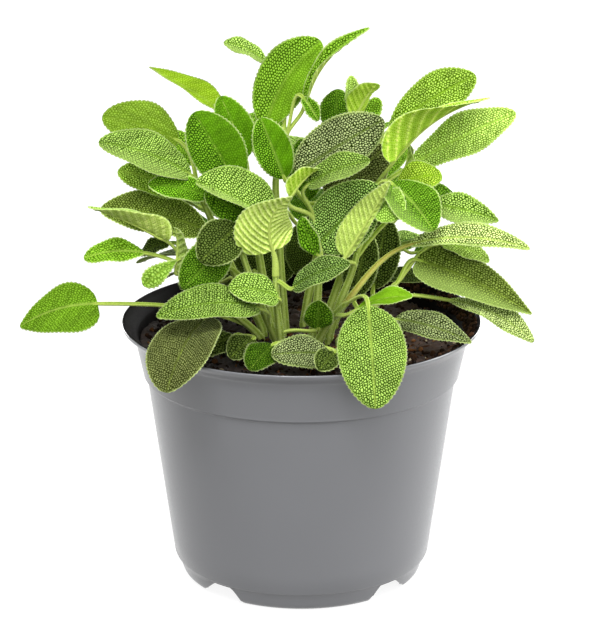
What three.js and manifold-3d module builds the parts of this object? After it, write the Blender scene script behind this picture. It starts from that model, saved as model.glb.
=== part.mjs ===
// A potted sage: a thin plastic pot, its soil, and the leafy stems that stand in it.
// Millimetres, +Z up. Every place below is measured from the pot's own axis at the surface it stands on.

import * as THREE from 'three';
import { mergeVertices } from 'three/addons/utils/BufferGeometryUtils.js';
import Module from 'manifold-3d';

const wasm = await Module();
wasm.setup();

// The pot
const POT_HEIGHT = 96;
const RIM_RADIUS = 65;
const LIP_DROP = 1;
const LIP_WIDTH = 1;
const COLLAR_TOP_HEIGHT = 91;
const COLLAR_TOP_RADIUS = 60.4;
const FLARE_LIFT = 0.6;
const COLLAR_FOOT_RADIUS = 57.4;
const COLLAR_FOOT_HEIGHT = 75.7;
const BODY_TOP_RADIUS = 56.1;
const BODY_FOOT_RADIUS = 46.6;
const RING_HEIGHT = 6.5;
const RING_TOP_RADIUS = 45.4;
const RING_ROUND_RADIUS = 43.9;
const RING_ROUND_HEIGHT = 1.8;
const RING_FOOT_RADIUS = 41.4;
const WALL = 1.2;
const STEP_HEIGHT = 1.2;
const RING_LEDGE = 0.4;
const FLOOR_LIFT = 0.6;
const JUST_BELOW = 0.01;
const POT_SIDES = 48;

// Four notches leave four feet under the pot, a wider one at the front and one at the back. Angles are
// counted from the front, in degrees. Each notch slopes further out towards the foot at its side.
const NOTCH_OFF = 41.5;
const NOTCHES = [[NOTCH_OFF, 1], [-NOTCH_OFF, -1], [180 - NOTCH_OFF, -1], [180 + NOTCH_OFF, 1]];
const NOTCH_TURN = 2.6;
const NOTCH_NEAR_ANGLE = 9.5;
const NOTCH_FAR_ANGLE = 16;
const NOTCH_TOP_ANGLE = 5;
const NOTCH_HEIGHT = 6.3;
const NOTCH_CURVE_HEIGHT = 4.5;
const NOTCH_CURVE_SIDES = 3;
const NOTCH_START = -1;
const DRAINS = 6;
const DRAIN_RADIUS = 3.5;
const DRAIN_SIDES = 8;
const DRAIN_CIRCLE_RADIUS = 29;

// The soil
const SOIL_TOP = 88.5;
const SOIL_SIDES = 28;
const SOIL_RINGS = 4;
const SOIL_UNEVEN = 1.1;
const SOIL_WAVE_X = 30;
const SOIL_WAVE_Y = 37;
const SOIL_RIPPLE = 19;
const SOIL_RIPPLE_LEAN = 0.36;
const FIT_GAP = 0.3;
const HOLE_DEPTH = 9;
const HOLE_SIDES = 5;
const HOLE_RADIUS = 2.6;

// Stems, leaf stalks and blades
const STEM_SIDES = 5;
const STEM_ROOT_RADIUS = 1.8;
const STEM_TOP_RADIUS = 1.15;
const STEM_STEPS = 5;
const STEM_BURIED_SHARE = 0.4;
const STEM_BEND_DEPTH = 1;
const STALK_HALF_WIDTH = 0.95;
const STALK_HALF_HEIGHT = 0.75;
const STALK_REACH = 0.38;
const HIGHEST_STALK = 0.97;
const LONG_STALK = 20;
const LONG_STALK_STEPS = 3;
const STALK_STEPS = 2;
const BLADE_THICKNESS = 0.7;
const RIB_DEPTH = 0.5;
const BLADE_STEP = 8.5;
const FEWEST_BLADE_STEPS = 3;
const ROUNDNESS = 0.54;
const TIP_SHARE = 0.2;
const SCALLOP_DEPTH = 0.55;
const RIPPLE = 0.55;
const RIPPLES = 1.7;
const RIPPLE_TURN = 0.4;
const SAME_POINT = 1e-4;
const [LEFT, RIB, RIGHT, LOW_RIGHT, LOW_RIB, LOW_LEFT] = [0, 1, 2, 3, 4, 5];

// A leaf is where it leaves its stem (a share of the stem's length), where its blade starts, where it ends,
// its width and the way its upper face looks. Its form says how far its rib arches up, how steeply its
// halves fold up in degrees, how far its rib bends sideways, how much of the width its left and right half
// have, where it is widest, how pointed and how wavy it is, and how thick its stalk is.
const leaf = (at, base, tip, width, face, form = {}) => ({
  at,
  base,
  tip,
  width,
  face,
  arch: 2,
  fold: 8,
  side: 0,
  halves: [1, 1],
  widest: 0.48,
  pointed: 0,
  wave: 1,
  stalk: 1,
  ...form,
});

const stems = {
  stem_top: {
    path: [[-6, 6, 90], [-8, 8, 122], [-9, 9, 148], [-5, 10, 163]],
    leaves: [
      leaf(0.96, [-13, 12, 163], [7, 20, 194], 21, [-1, -3, 1], { fold: 12, side: -3, widest: 0.54 }),
      leaf(1.0, [1, 8, 173], [24, 4, 202], 15, [-2, -1, 1], { arch: 5, fold: 38, halves: [0.5, 0.7] }),
      leaf(0.98, [0.5, 6, 176.5], [6, 3, 168.5], 6, [1, -3, 1], { arch: 1, fold: 20 }),
      leaf(0.9, [-12, 22, 185], [-28, 22, 193], 9, [0, -1, 2], { widest: 0.58 }),
      leaf(0.8, [-6, -3, 149], [-14.5, 2, 170], 14, [0, -3, 1], { fold: 12 }),
      leaf(0.7, [-12, 22, 148], [-16, 44, 162], 17, [0, 1, 3], { arch: 3 }),
      leaf(0.5, [0, 24, 126], [8, 46, 132], 16, [0, 1, 3], { arch: 3 }),
    ],
  },
  stem_upper_left: {
    path: [[-10, 0, 90], [-14, 0, 112], [-17, -1, 132], [-19, 0, 143]],
    leaves: [
      leaf(1.0, [-22, -4, 145.5], [-38, 0, 172.5], 20, [0, -2, 1], { fold: 10, widest: 0.52 }),
      leaf(1.0, [-20, 6, 154], [-29, 10, 176], 14, [1, -3, 1]),
      leaf(0.95, [-28, 14, 169], [-55, 22, 184], 13, [0, -1, 3], {
        arch: 1, halves: [0.45, 1.2], widest: 0.42, pointed: 0.7,
      }),
      leaf(0.9, [-9, -15, 134], [-37, -19, 152], 24, [0, -1, 2], {
        arch: 3, fold: 22, halves: [0.5, 1.05],
      }),
      leaf(0.8, [-18, -10, 135], [-34, -9, 146], 12, [0, -2, 1]),
      leaf(0.9, [-24, 14, 144], [-38, 38, 154], 17, [0, 1, 3], { arch: 3 }),
    ],
  },
  stem_left: {
    path: [[-14, 4, 90], [-24, 3, 112], [-32, 1, 132], [-36, 0, 142]],
    leaves: [
      leaf(1.0, [-39, -6, 151], [-71, -14, 165], 20, [0, -2, 3], { arch: 3, fold: 5, halves: [0.85, 1] }),
      leaf(1.0, [-44, 8, 160], [-71, 6, 169.5], 19, [0, -1, 1], { arch: 3 }),
      leaf(0.9, [-40, 4, 142], [-66, 8, 149], 14, [0, -1, 1]),
      leaf(0.9, [-33, -8, 144], [-54, -13, 149.5], 11, [0, -1, 1]),
      leaf(0.7, [-34, 0, 129], [-72, 0, 137], 20, [0, -2, 3], { arch: 3 }),
      leaf(0.6, [-32, 14, 124], [-58, 32, 128], 18, [0, 1, 3], { arch: 3 }),
      leaf(0.3, [-32, 16, 106], [-50, 24, 104], 14, [0, 0, 1], { arch: 3 }),
    ],
  },
  stem_low_left: {
    path: [[-15, -4, 90], [-26, -8, 102], [-35, -11, 112], [-41, -12, 120]],
    leaves: [
      leaf(0.98, [-48, -13, 129], [-75, -19, 143], 16, [0, 0, 1], {
        arch: 1, fold: 52, halves: [1.2, 0.7], widest: 0.26, pointed: 0.15,
      }),
      leaf(0.9, [-56, -8, 123], [-77.5, -10, 121.5], 12.5, [0, -1, 2], { widest: 0.52 }),
      leaf(0.15, [-73, -8, 104], [-101, -10, 96], 19, [0, -2, 3], {
        arch: 3.5, halves: [1.45, 1.05], widest: 0.34, pointed: 0.45,
      }),
      leaf(0.98, [-43.5, -16, 123], [-56, -20, 114.5], 7.5, [0, -2, 1], { arch: 1, widest: 0.68 }),
      leaf(0.9, [-44.5, -15, 118], [-44, -19, 135.5], 7, [1, 1, 0], { arch: 1, fold: 40 }),
      leaf(0.85, [-47, -2, 125], [-58, 0, 120], 9, [0, -1, 2], { arch: 1 }),
    ],
  },
  stem_front_left: {
    path: [[-9, -9, 90], [-14, -13, 104], [-18, -16, 116], [-21, -18, 126]],
    leaves: [
      leaf(1.0, [-22.5, -16.5, 135.5], [-35.5, -26, 125], 16.5, [0, -3, 1], { fold: 6 }),
      leaf(0.9, [-26, -15, 129], [-42, -20, 113], 16, [0, -3, 1]),
      leaf(0.15, [-15, -26, 108], [-50, -46, 111], 19.5, [0, -1, 2], { arch: 4, pointed: 0.35 }),
      leaf(0.3, [-33, -27, 105], [-46, -65, 90], 25, [-1, -2, 3], { arch: 4, widest: 0.52 }),
      leaf(0.5, [-32, -4, 116], [-44, -4, 109], 9, [0, -2, 1], { arch: 1 }),
    ],
  },
  stem_front: {
    path: [[-7, -17, 90], [-8, -19, 100], [-9, -21, 112], [-9, -22, 119]],
    leaves: [
      leaf(1.0, [-10, -23, 128], [-3, -31, 150], 22, [-1, 4, 1], {
        fold: 15, side: 4, halves: [0.85, 1.15], widest: 0.26, pointed: 0.8, stalk: 1.6,
      }),
      leaf(0.9, [-3, -25, 115], [17, -32, 126], 12.5, [0, -2, 3], { fold: 10 }),
      leaf(0.2, [6, -18, 98], [6, -23, 110], 11, [0, -3, 1], { arch: 1 }),
      leaf(0.5, [-8, -24, 111], [-25.5, -30, 116.5], 15, [0, -2, 3]),
    ],
  },
  stem_front_right: {
    path: [[6, -11, 90], [9, -15, 98], [13, -20, 105], [16, -26, 110]],
    leaves: [
      leaf(1.0, [23, -46, 115], [25, -73, 87], 24, [0, -1, 1], { fold: 6 }),
      leaf(0.5, [19, -36, 110.5], [38.4, -43, 117.5], 10.5, [0, -1, 3], { fold: 10, widest: 0.58 }),
      leaf(0.6, [38, -17, 128.5], [80, -24, 129], 13, [0, -2, 3], { arch: 5, halves: [1, 0.6], stalk: 1.7 }),
    ],
  },
  stem_middle: {
    path: [[4, -2, 90], [6, -4, 108], [6, -6, 126], [4, -8, 138]],
    leaves: [
      leaf(1.0, [-2, -8, 152], [29, -5, 171], 20, [0, -2, 1], { arch: 3 }),
      leaf(1.0, [2, -16, 150], [24, -20, 160], 13, [0, -2, 3], { fold: 12 }),
      leaf(0.7, [5, -8, 125], [27, -12, 149], 23, [0, -2, 1], { fold: 5 }),
      leaf(0.95, [-4, -17, 146], [6, -19, 157], 10, [-1, 1, 1], { arch: 1, fold: 42 }),
      leaf(0.7, [6, -18, 125], [0, -14, 138], 9, [-2, -2, 1], { arch: 1 }),
    ],
  },
  stem_middle_right: {
    path: [[10, -3, 90], [14, -6, 104], [18, -9, 116], [20, -10, 124]],
    leaves: [
      leaf(0.8, [15.4, -18.5, 124.5], [31, -24, 153.5], 16, [1, 3, 0], {
        fold: 10, halves: [0.25, 1], widest: 0.32, pointed: 0.4, wave: 1.5, stalk: 1.4,
      }),
      leaf(1.0, [29.5, -15, 144.5], [35.5, -25, 141.5], 14, [-1, -3, 1]),
      leaf(1.0, [31.5, -13, 150], [46, -26, 136], 20, [1, -2, 2]),
      leaf(0.9, [34, -3, 146], [50, -3, 150], 13, [0, -1, 1], { arch: 3 }),
      leaf(0.9, [46, -5, 140], [70, -9, 135], 13, [0, -1, 1], { pointed: 0.5 }),
    ],
  },
  stem_upper_right: {
    path: [[8, 6, 90], [15, 6, 112], [22, 5, 132], [26, 4, 144]],
    leaves: [
      leaf(1.0, [31, 10, 163], [62, 8, 184], 18, [0, -1, 1], { arch: 3, widest: 0.58 }),
      leaf(1.0, [33, -4, 156], [66, -10, 180], 27, [-1, 0, 2], {
        arch: 4, fold: 46, halves: [0.4, 1.1], widest: 0.28, pointed: 0.3, stalk: 1.2,
      }),
      leaf(0.9, [39, 14, 149], [77, 14, 169], 17, [0, -1, 1], { widest: 0.54, wave: 2.5 }),
      leaf(0.95, [36, 2, 148], [38, 2, 161], 7, [1, 0, 0], { arch: 1, fold: 40 }),
      leaf(0.75, [10, 6, 137], [30, 8, 158], 21, [0, -2, 1]),
      leaf(0.7, [26, 18, 140], [40, 44, 148], 17, [0, 1, 3], { arch: 3 }),
      leaf(0.45, [34, 19, 118], [62, 21, 115], 16, [0, 1, 3], { arch: 3 }),
    ],
  },
  stem_low_right: {
    path: [[14, -8, 90], [22, -10, 100], [30, -11, 108], [34, -12, 113]],
    leaves: [
      leaf(1.0, [41, -10, 121], [81.5, -22, 104.5], 23, [0, -2, 3], {
        arch: 3, halves: [0.88, 0.92], widest: 0.32, pointed: 0.55,
      }),
      leaf(0.6, [52, -16, 108], [82, -27, 95.8], 14, [1, -1, 3], { arch: 3, widest: 0.58 }),
      leaf(0.4, [33, -22, 102.5], [59.5, -35, 98], 14, [0, -1, 2], { widest: 0.4, pointed: 0.4 }),
      leaf(0.95, [50, -7, 126], [67, -9, 120], 10, [0, -1, 2]),
      leaf(0.5, [26, 4, 106], [31, 10, 131], 15, [0, -2, 1]),
      leaf(0.3, [19, 0, 104], [24, 3, 128], 13, [0, -2, 1]),
    ],
  },
  stem_back: {
    path: [[1, 16, 90], [6, 20, 115], [12, 22, 138], [16, 22, 152]],
    leaves: [
      leaf(1.0, [14, 21, 159], [13, 26, 175], 13, [-1, -3, 0]),
      leaf(1.0, [18, 23, 164], [18, 26, 180], 7, [1, -3, 0], { arch: 1, fold: 20 }),
      leaf(1.0, [19, 17, 166], [27, 13, 180], 12, [-1, 2, 1], { arch: 1, fold: 34 }),
      leaf(1.0, [23, 21, 163], [28, 25, 172], 7, [0, -3, 1], { arch: 1 }),
      leaf(0.9, [18, 34, 150], [34, 58, 154], 18, [0, 1, 3], { arch: 3 }),
      leaf(0.8, [6, 34, 140], [-6, 64, 148], 19, [0, 1, 3], { arch: 3 }),
      leaf(0.6, [14, 38, 122], [22, 74, 122], 20, [0, 1, 3], { arch: 4 }),
      leaf(0.4, [2, 36, 106], [-4, 72, 98], 18, [0, 1, 3], { arch: 4 }),
      leaf(0.3, [3, 24, 103], [7, 21, 130], 22, [0, -3, 1]),
      leaf(0.6, [2, 22, 134], [0, 20, 158], 13, [0, -3, 1]),
    ],
  },
  stem_back_left: {
    path: [[-10, 14, 90], [-18, 24, 108], [-25, 31, 124], [-30, 35, 136]],
    leaves: [
      leaf(1.0, [-36, 38, 144], [-60, 44, 150], 17, [0, -1, 2], { arch: 3 }),
      leaf(1.0, [-28, 42, 142], [-32, 62, 156], 18, [0, 1, 3]),
      leaf(0.9, [-38, 40, 127], [-70, 48, 126], 19, [0, 1, 3], { arch: 4 }),
      leaf(0.8, [-28, 44, 122], [-40, 74, 120], 19, [-1, 1, 3], { arch: 4 }),
      leaf(0.5, [-30, 32, 106], [-62, 50, 102], 18, [-1, 1, 3], { arch: 4 }),
      leaf(0.4, [-16, 34, 104], [-26, 68, 98], 17, [0, 1, 3], { arch: 4 }),
      leaf(0.2, [-8, 29, 100], [-15, 27, 127], 20, [0, -3, 1]),
      leaf(0.3, [-18, 25, 100], [-30, 22, 122], 18, [0, -3, 1]),
    ],
  },
  stem_back_right: {
    path: [[12, 13, 90], [21, 23, 104], [29, 30, 115], [34, 33, 123]],
    leaves: [
      leaf(1.0, [40, 34, 128], [60, 42, 128], 17, [0, -1, 2], { arch: 3 }),
      leaf(1.0, [36, 42, 130], [46, 66, 132], 18, [1, 1, 3], { arch: 3 }),
      leaf(0.8, [42, 30, 112], [70, 38, 103], 18, [1, 0, 3], { arch: 4 }),
      leaf(0.6, [34, 38, 110], [56, 64, 104], 18, [1, 1, 3], { arch: 4 }),
      leaf(0.4, [26, 18, 104], [56, 22, 101], 16, [1, 0, 3], { arch: 3 }),
    ],
  },
  stem_small_front: {
    path: [[-2, -24, 90], [-2, -27, 92], [-2, -29, 94], [-2, -30, 96]],
    leaves: [
      leaf(0.9, [-10, -34, 97], [-18, -50, 93], 12, [0, -1, 1], { arch: 1 }),
      leaf(1.0, [10, -36, 94.5], [-10.5, -45, 97], 13.5, [0, -1, 1], { arch: 1 }),
      leaf(0.8, [12, -35, 94.5], [6, -49, 92.5], 10, [0, -1, 1], { arch: 1 }),
    ],
  },
  stem_small_left: {
    path: [[-17, -14, 90], [-19, -17, 92], [-20, -19, 94], [-21, -20, 96]],
    leaves: [
      leaf(0.9, [-17, -27, 97], [-25, -37, 93], 11, [0, -1, 1], { arch: 1 }),
      leaf(1.0, [-24, -24, 97], [-36, -32, 93], 10, [0, -1, 1], { arch: 1 }),
    ],
  },
};

const solidFrom = (geometry) => {
  geometry.deleteAttribute('normal');
  geometry.deleteAttribute('uv');
  const merged = mergeVertices(geometry, SAME_POINT);
  return new wasm.Manifold(new wasm.Mesh({
    numProp: 3,
    vertProperties: new Float32Array(merged.attributes.position.array),
    triVerts: new Uint32Array(merged.index.array),
  }));
};

const geometryFrom = (solid) => {
  const mesh = solid.getMesh();
  const geometry = new THREE.BufferGeometry();
  geometry.setAttribute('position', new THREE.BufferAttribute(mesh.vertProperties, 3));
  geometry.setIndex(new THREE.BufferAttribute(mesh.triVerts, 1));
  geometry.computeVertexNormals();
  return geometry;
};

const vector = (place) => new THREE.Vector3(...place);

// Closed skins, built from rings of points that all run the same way round
class Skin {
  constructor() {
    this.points = [];
    this.faces = [];
  }

  ring(places) {
    const first = this.points.length;
    this.points.push(...places);
    return places.map((_, i) => first + i);
  }

  join(a, b) {
    for (let i = 0; i < a.length; i += 1) {
      const next = (i + 1) % a.length;
      this.faces.push([a[i], a[next], b[next]], [a[i], b[next], b[i]]);
    }
  }

  // Two half steps of a blade: a and b hold six points, and m between them the four of its edges
  blade(a, m, b) {
    const [left, right, lowRight, lowLeft] = m;
    this.faces.push(
      [a[LEFT], a[RIB], left], [a[RIB], b[RIB], left], [left, b[RIB], b[LEFT]],
      [a[RIB], a[RIGHT], right], [a[RIB], right, b[RIB]], [right, b[RIGHT], b[RIB]],
      [a[LOW_LEFT], lowLeft, a[LOW_RIB]], [a[LOW_RIB], lowLeft, b[LOW_RIB]],
      [lowLeft, b[LOW_LEFT], b[LOW_RIB]],
      [a[LOW_RIB], lowRight, a[LOW_RIGHT]], [a[LOW_RIB], b[LOW_RIB], lowRight],
      [lowRight, b[LOW_RIB], b[LOW_RIGHT]],
      [a[RIGHT], a[LOW_RIGHT], right], [a[LOW_RIGHT], lowRight, right],
      [right, lowRight, b[RIGHT]], [lowRight, b[LOW_RIGHT], b[RIGHT]],
      [a[LOW_LEFT], a[LEFT], lowLeft], [a[LEFT], left, lowLeft],
      [lowLeft, left, b[LOW_LEFT]], [left, b[LEFT], b[LOW_LEFT]],
    );
  }

  // An end cap fans out from the lower side of the rib, which never lies in line with two other points
  cap(ring, facesForward) {
    const around = (i) => ring[(LOW_RIB + i) % ring.length];
    for (let i = 1; i < ring.length - 1; i += 1) {
      const [a, b] = facesForward ? [i, i + 1] : [i + 1, i];
      this.faces.push([around(0), around(a), around(b)]);
    }
  }

  solid() {
    const geometry = new THREE.BufferGeometry();
    const flat = this.points.flatMap((p) => [p.x, p.y, p.z]);
    geometry.setAttribute('position', new THREE.Float32BufferAttribute(flat, 3));
    geometry.setIndex(this.faces.flat());
    return solidFrom(geometry);
  }
}

// A blade's half width, from 0 at its base and tip to 1 where it is widest
const outline = (t, { widest, pointed }) => {
  const skew = Math.log(0.5) / Math.log(widest);
  return Math.sin(Math.PI * t ** skew) ** ROUNDNESS * (1 - pointed * t ** 3);
};

// Directions at a point of the rib: along it, across it and out of its upper face
const frameAt = (curve, t, up) => {
  const along = curve.getTangent(t);
  const across = along.clone().cross(up).normalize();
  return { along, across, up: across.clone().cross(along) };
};

// Six points round a blade or stalk: left, rib and right on top, then right, rib and left below. Its
// reach and lift are those of its left and its right edge.
const section = (centre, frame, reach, lift, thickness, rib) => {
  const place = (s, h) => centre.clone()
    .addScaledVector(frame.across, s)
    .addScaledVector(frame.up, h);
  return [
    place(-reach[0], lift[0] + thickness / 2),
    place(0, thickness / 2),
    place(reach[1], lift[1] + thickness / 2),
    place(reach[1], lift[1] - thickness / 2),
    place(0, -thickness / 2 - rib),
    place(-reach[0], lift[0] - thickness / 2),
  ];
};

// The stalk starts inside the stem and runs out into the blade's own direction
const stalkRings = (skin, spec, stem, rib, up) => {
  const base = rib.getPoint(0);
  const at = STEM_BURIED_SHARE + (1 - STEM_BURIED_SHARE) * spec.at * HIGHEST_STALK;
  const root = stem.getPoint(at);
  const distance = root.distanceTo(base);
  const pull = distance * STALK_REACH;
  const outward = base.clone().sub(root).normalize();
  const start = stem.getTangent(at).add(outward).normalize();
  const stalk = new THREE.CubicBezierCurve3(
    root,
    root.clone().addScaledVector(start, pull),
    base.clone().addScaledVector(rib.getTangent(0), -pull),
    base,
  );
  const steps = distance > LONG_STALK ? LONG_STALK_STEPS : STALK_STEPS;
  const rings = [];
  let frame = frameAt(rib, 0, up);
  for (let i = steps - 1; i >= 0; i -= 1) {
    const along = stalk.getTangent(i / steps);
    const turn = new THREE.Quaternion().setFromUnitVectors(frame.along, along);
    frame = {
      along,
      across: frame.across.clone().applyQuaternion(turn),
      up: frame.up.clone().applyQuaternion(turn),
    };
    const thick = THREE.MathUtils.lerp(spec.stalk, 1, (i / steps) ** 2);
    const reach = STALK_HALF_WIDTH * thick;
    const height = STALK_HALF_HEIGHT * thick;
    rings.unshift(skin.ring(section(stalk.getPoint(i / steps), frame, [reach, reach],
      [0, 0], height, height / 2)));
  }
  return rings;
};

// Whole steps hold the rib and both edges, and half steps the edges only, where a scallop stands out
const bladeRings = (skin, spec, rib, up, steps, index) => {
  const fold = THREE.MathUtils.degToRad(spec.fold);
  const rings = [];
  for (let j = 0; j <= 2 * steps; j += 1) {
    const t = j / (2 * steps);
    const whole = j % 2 === 0;
    const share = Math.max(outline(t, spec), j === 0 ? 0 : TIP_SHARE);
    const half = spec.halves.map((part) => (
      Math.max(share * part * spec.width / 2 - (whole ? SCALLOP_DEPTH : 0), STALK_HALF_WIDTH)));
    const wave = [0, RIPPLE_TURN].map((turn) => (
      RIPPLE * spec.wave * share * Math.sin(2 * Math.PI * (RIPPLES * t + turn) + index)));
    const reach = half.map((width) => width * Math.cos(fold * share));
    const lift = half.map((width, i) => width * Math.sin(fold) * share + wave[i]);
    const ring = section(rib.getPoint(t), frameAt(rib, t, up), reach, lift,
      BLADE_THICKNESS / Math.cos(fold), RIB_DEPTH);
    rings.push(skin.ring(whole ? ring : ring.filter((_, i) => i !== RIB && i !== LOW_RIB)));
  }
  return rings;
};

const leafSolid = (spec, stem, index) => {
  const base = vector(spec.base);
  const tip = vector(spec.tip);
  const chord = tip.clone().sub(base);
  const across = chord.clone().cross(vector(spec.face)).normalize();
  const up = across.clone().cross(chord).normalize();
  const bend = base.clone().lerp(tip, 0.5)
    .addScaledVector(up, 2 * spec.arch)
    .addScaledVector(across, 2 * spec.side);
  const rib = new THREE.QuadraticBezierCurve3(base, bend, tip);
  const steps = Math.max(FEWEST_BLADE_STEPS, Math.round(chord.length() / BLADE_STEP));

  const skin = new Skin();
  const blade = bladeRings(skin, spec, rib, up, steps, index);
  const stalk = stalkRings(skin, spec, stem, rib, up);
  stalk.push(blade[0]);
  for (let i = 0; i < stalk.length - 1; i += 1) skin.join(stalk[i], stalk[i + 1]);
  for (let i = 0; i < 2 * steps; i += 2) skin.blade(blade[i], blade[i + 1], blade[i + 2]);
  skin.cap(stalk[0], false);
  skin.cap(blade[2 * steps], true);
  return skin.solid();
};

// A stem goes straight down into its hole and bends only above the soil
const stemCurve = (path) => {
  const [x, y] = path[0];
  const foot = vector([x, y, SOIL_TOP - HOLE_DEPTH + FIT_GAP]);
  const surface = vector([x, y, SOIL_TOP - STEM_BEND_DEPTH]);
  return new THREE.CatmullRomCurve3([foot, surface, ...path.map(vector)]);
};

const stemSolid = (stem) => {
  const skin = new Skin();
  let across = new THREE.Vector3(1, 0, 0);
  const rings = [];
  const shares = [0, STEM_BURIED_SHARE / 2];
  for (let i = 0; i <= STEM_STEPS; i += 1) {
    shares.push(STEM_BURIED_SHARE + (1 - STEM_BURIED_SHARE) * i / STEM_STEPS);
  }
  for (const share of shares) {
    const along = stem.getTangent(share);
    across = across.clone().addScaledVector(along, -across.dot(along)).normalize();
    const other = along.clone().cross(across);
    const radius = THREE.MathUtils.lerp(STEM_ROOT_RADIUS, STEM_TOP_RADIUS, share);
    const centre = stem.getPoint(share);
    rings.push(skin.ring(Array.from({ length: STEM_SIDES }, (_, i) => {
      const turn = 2 * Math.PI * i / STEM_SIDES;
      return centre.clone()
        .addScaledVector(across, radius * Math.cos(turn))
        .addScaledVector(other, radius * Math.sin(turn));
    })));
  }
  for (let i = 0; i < rings.length - 1; i += 1) skin.join(rings[i], rings[i + 1]);
  skin.cap(rings[0], false);
  skin.cap(rings[rings.length - 1], true);
  return skin.solid();
};

const leafyStem = ({ path, leaves }) => {
  const stem = stemCurve(path);
  return leaves.reduce((plant, spec, i) => plant.add(leafSolid(spec, stem, i)), stemSolid(stem));
};

// The pot is one turned wall with a raised floor, notched and drained from below
const floorBottom = RING_HEIGHT + FLOOR_LIFT;
const floorTop = floorBottom + WALL;
const innerRadius = (z) => (z < COLLAR_FOOT_HEIGHT
  ? THREE.MathUtils.mapLinear(z, RING_HEIGHT, COLLAR_FOOT_HEIGHT, BODY_FOOT_RADIUS, BODY_TOP_RADIUS)
  : THREE.MathUtils.mapLinear(z, COLLAR_FOOT_HEIGHT + STEP_HEIGHT, COLLAR_TOP_HEIGHT,
    COLLAR_FOOT_RADIUS, COLLAR_TOP_RADIUS)) - WALL;

const turned = (profile, sides) => {
  const points = profile.map(([radius, z]) => new THREE.Vector2(radius, z));
  const geometry = new THREE.LatheGeometry(points, sides);
  geometry.rotateX(Math.PI / 2);
  return geometry;
};

const potSolid = () => {
  const lipBottom = POT_HEIGHT - LIP_DROP;
  const wall = solidFrom(turned([
    [0, floorBottom],
    [RING_TOP_RADIUS - WALL, floorBottom],
    [RING_ROUND_RADIUS - WALL, RING_ROUND_HEIGHT],
    [RING_FOOT_RADIUS - WALL, 0],
    [RING_FOOT_RADIUS, 0],
    [RING_ROUND_RADIUS, RING_ROUND_HEIGHT],
    [RING_TOP_RADIUS, RING_HEIGHT],
    [BODY_FOOT_RADIUS, RING_HEIGHT + RING_LEDGE],
    [BODY_TOP_RADIUS, COLLAR_FOOT_HEIGHT],
    [COLLAR_FOOT_RADIUS, COLLAR_FOOT_HEIGHT + STEP_HEIGHT],
    [COLLAR_TOP_RADIUS, COLLAR_TOP_HEIGHT],
    [RIM_RADIUS, lipBottom],
    [RIM_RADIUS, POT_HEIGHT],
    [RIM_RADIUS - LIP_WIDTH, POT_HEIGHT],
    [innerRadius(COLLAR_TOP_HEIGHT), COLLAR_TOP_HEIGHT + FLARE_LIFT],
    [innerRadius(COLLAR_FOOT_HEIGHT + STEP_HEIGHT), COLLAR_FOOT_HEIGHT + STEP_HEIGHT],
    [innerRadius(COLLAR_FOOT_HEIGHT - JUST_BELOW), COLLAR_FOOT_HEIGHT],
    [innerRadius(floorTop), floorTop],
    [0, floorTop],
  ], POT_SIDES));

  const across = (angle) => RING_ROUND_RADIUS * Math.sin(THREE.MathUtils.degToRad(angle));
  const [near, far, top] = [NOTCH_NEAR_ANGLE, NOTCH_FAR_ANGLE, NOTCH_TOP_ANGLE].map(across);
  let pot = wall;
  for (const [angle, side] of NOTCHES) {
    const [left, right] = side > 0 ? [near, far] : [far, near];
    const notch = new THREE.Shape();
    notch.moveTo(-left, NOTCH_START);
    notch.lineTo(right, NOTCH_START);
    notch.lineTo(right, 0);
    notch.quadraticCurveTo((right + top) / 2, NOTCH_CURVE_HEIGHT, top, NOTCH_HEIGHT);
    notch.lineTo(-top, NOTCH_HEIGHT);
    notch.quadraticCurveTo(-(left + top) / 2, NOTCH_CURVE_HEIGHT, -left, 0);
    notch.closePath();
    const cut = new THREE.ExtrudeGeometry(notch, {
      depth: RIM_RADIUS,
      bevelEnabled: false,
      curveSegments: NOTCH_CURVE_SIDES,
    });
    cut.translate(0, 0, RING_FOOT_RADIUS / 2);
    cut.rotateX(Math.PI / 2);
    cut.rotateZ(THREE.MathUtils.degToRad(angle + NOTCH_TURN));
    pot = pot.subtract(solidFrom(cut));
  }
  for (let i = 0; i < DRAINS; i += 1) {
    const drain = new THREE.CylinderGeometry(DRAIN_RADIUS, DRAIN_RADIUS, 3 * WALL, DRAIN_SIDES);
    drain.rotateX(Math.PI / 2);
    drain.translate(DRAIN_CIRCLE_RADIUS, 0, (floorBottom + floorTop) / 2);
    drain.rotateZ(2 * Math.PI * i / DRAINS);
    pot = pot.subtract(solidFrom(drain));
  }
  return pot;
};

const waveOver = (distance, length) => Math.sin(2 * Math.PI * distance / length);
const soilHeight = (x, y) => SOIL_TOP + SOIL_UNEVEN * (
  waveOver(x, SOIL_WAVE_X) * waveOver(y, SOIL_WAVE_Y)
  + waveOver(y + SOIL_RIPPLE_LEAN * x, SOIL_RIPPLE) / 2);

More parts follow.
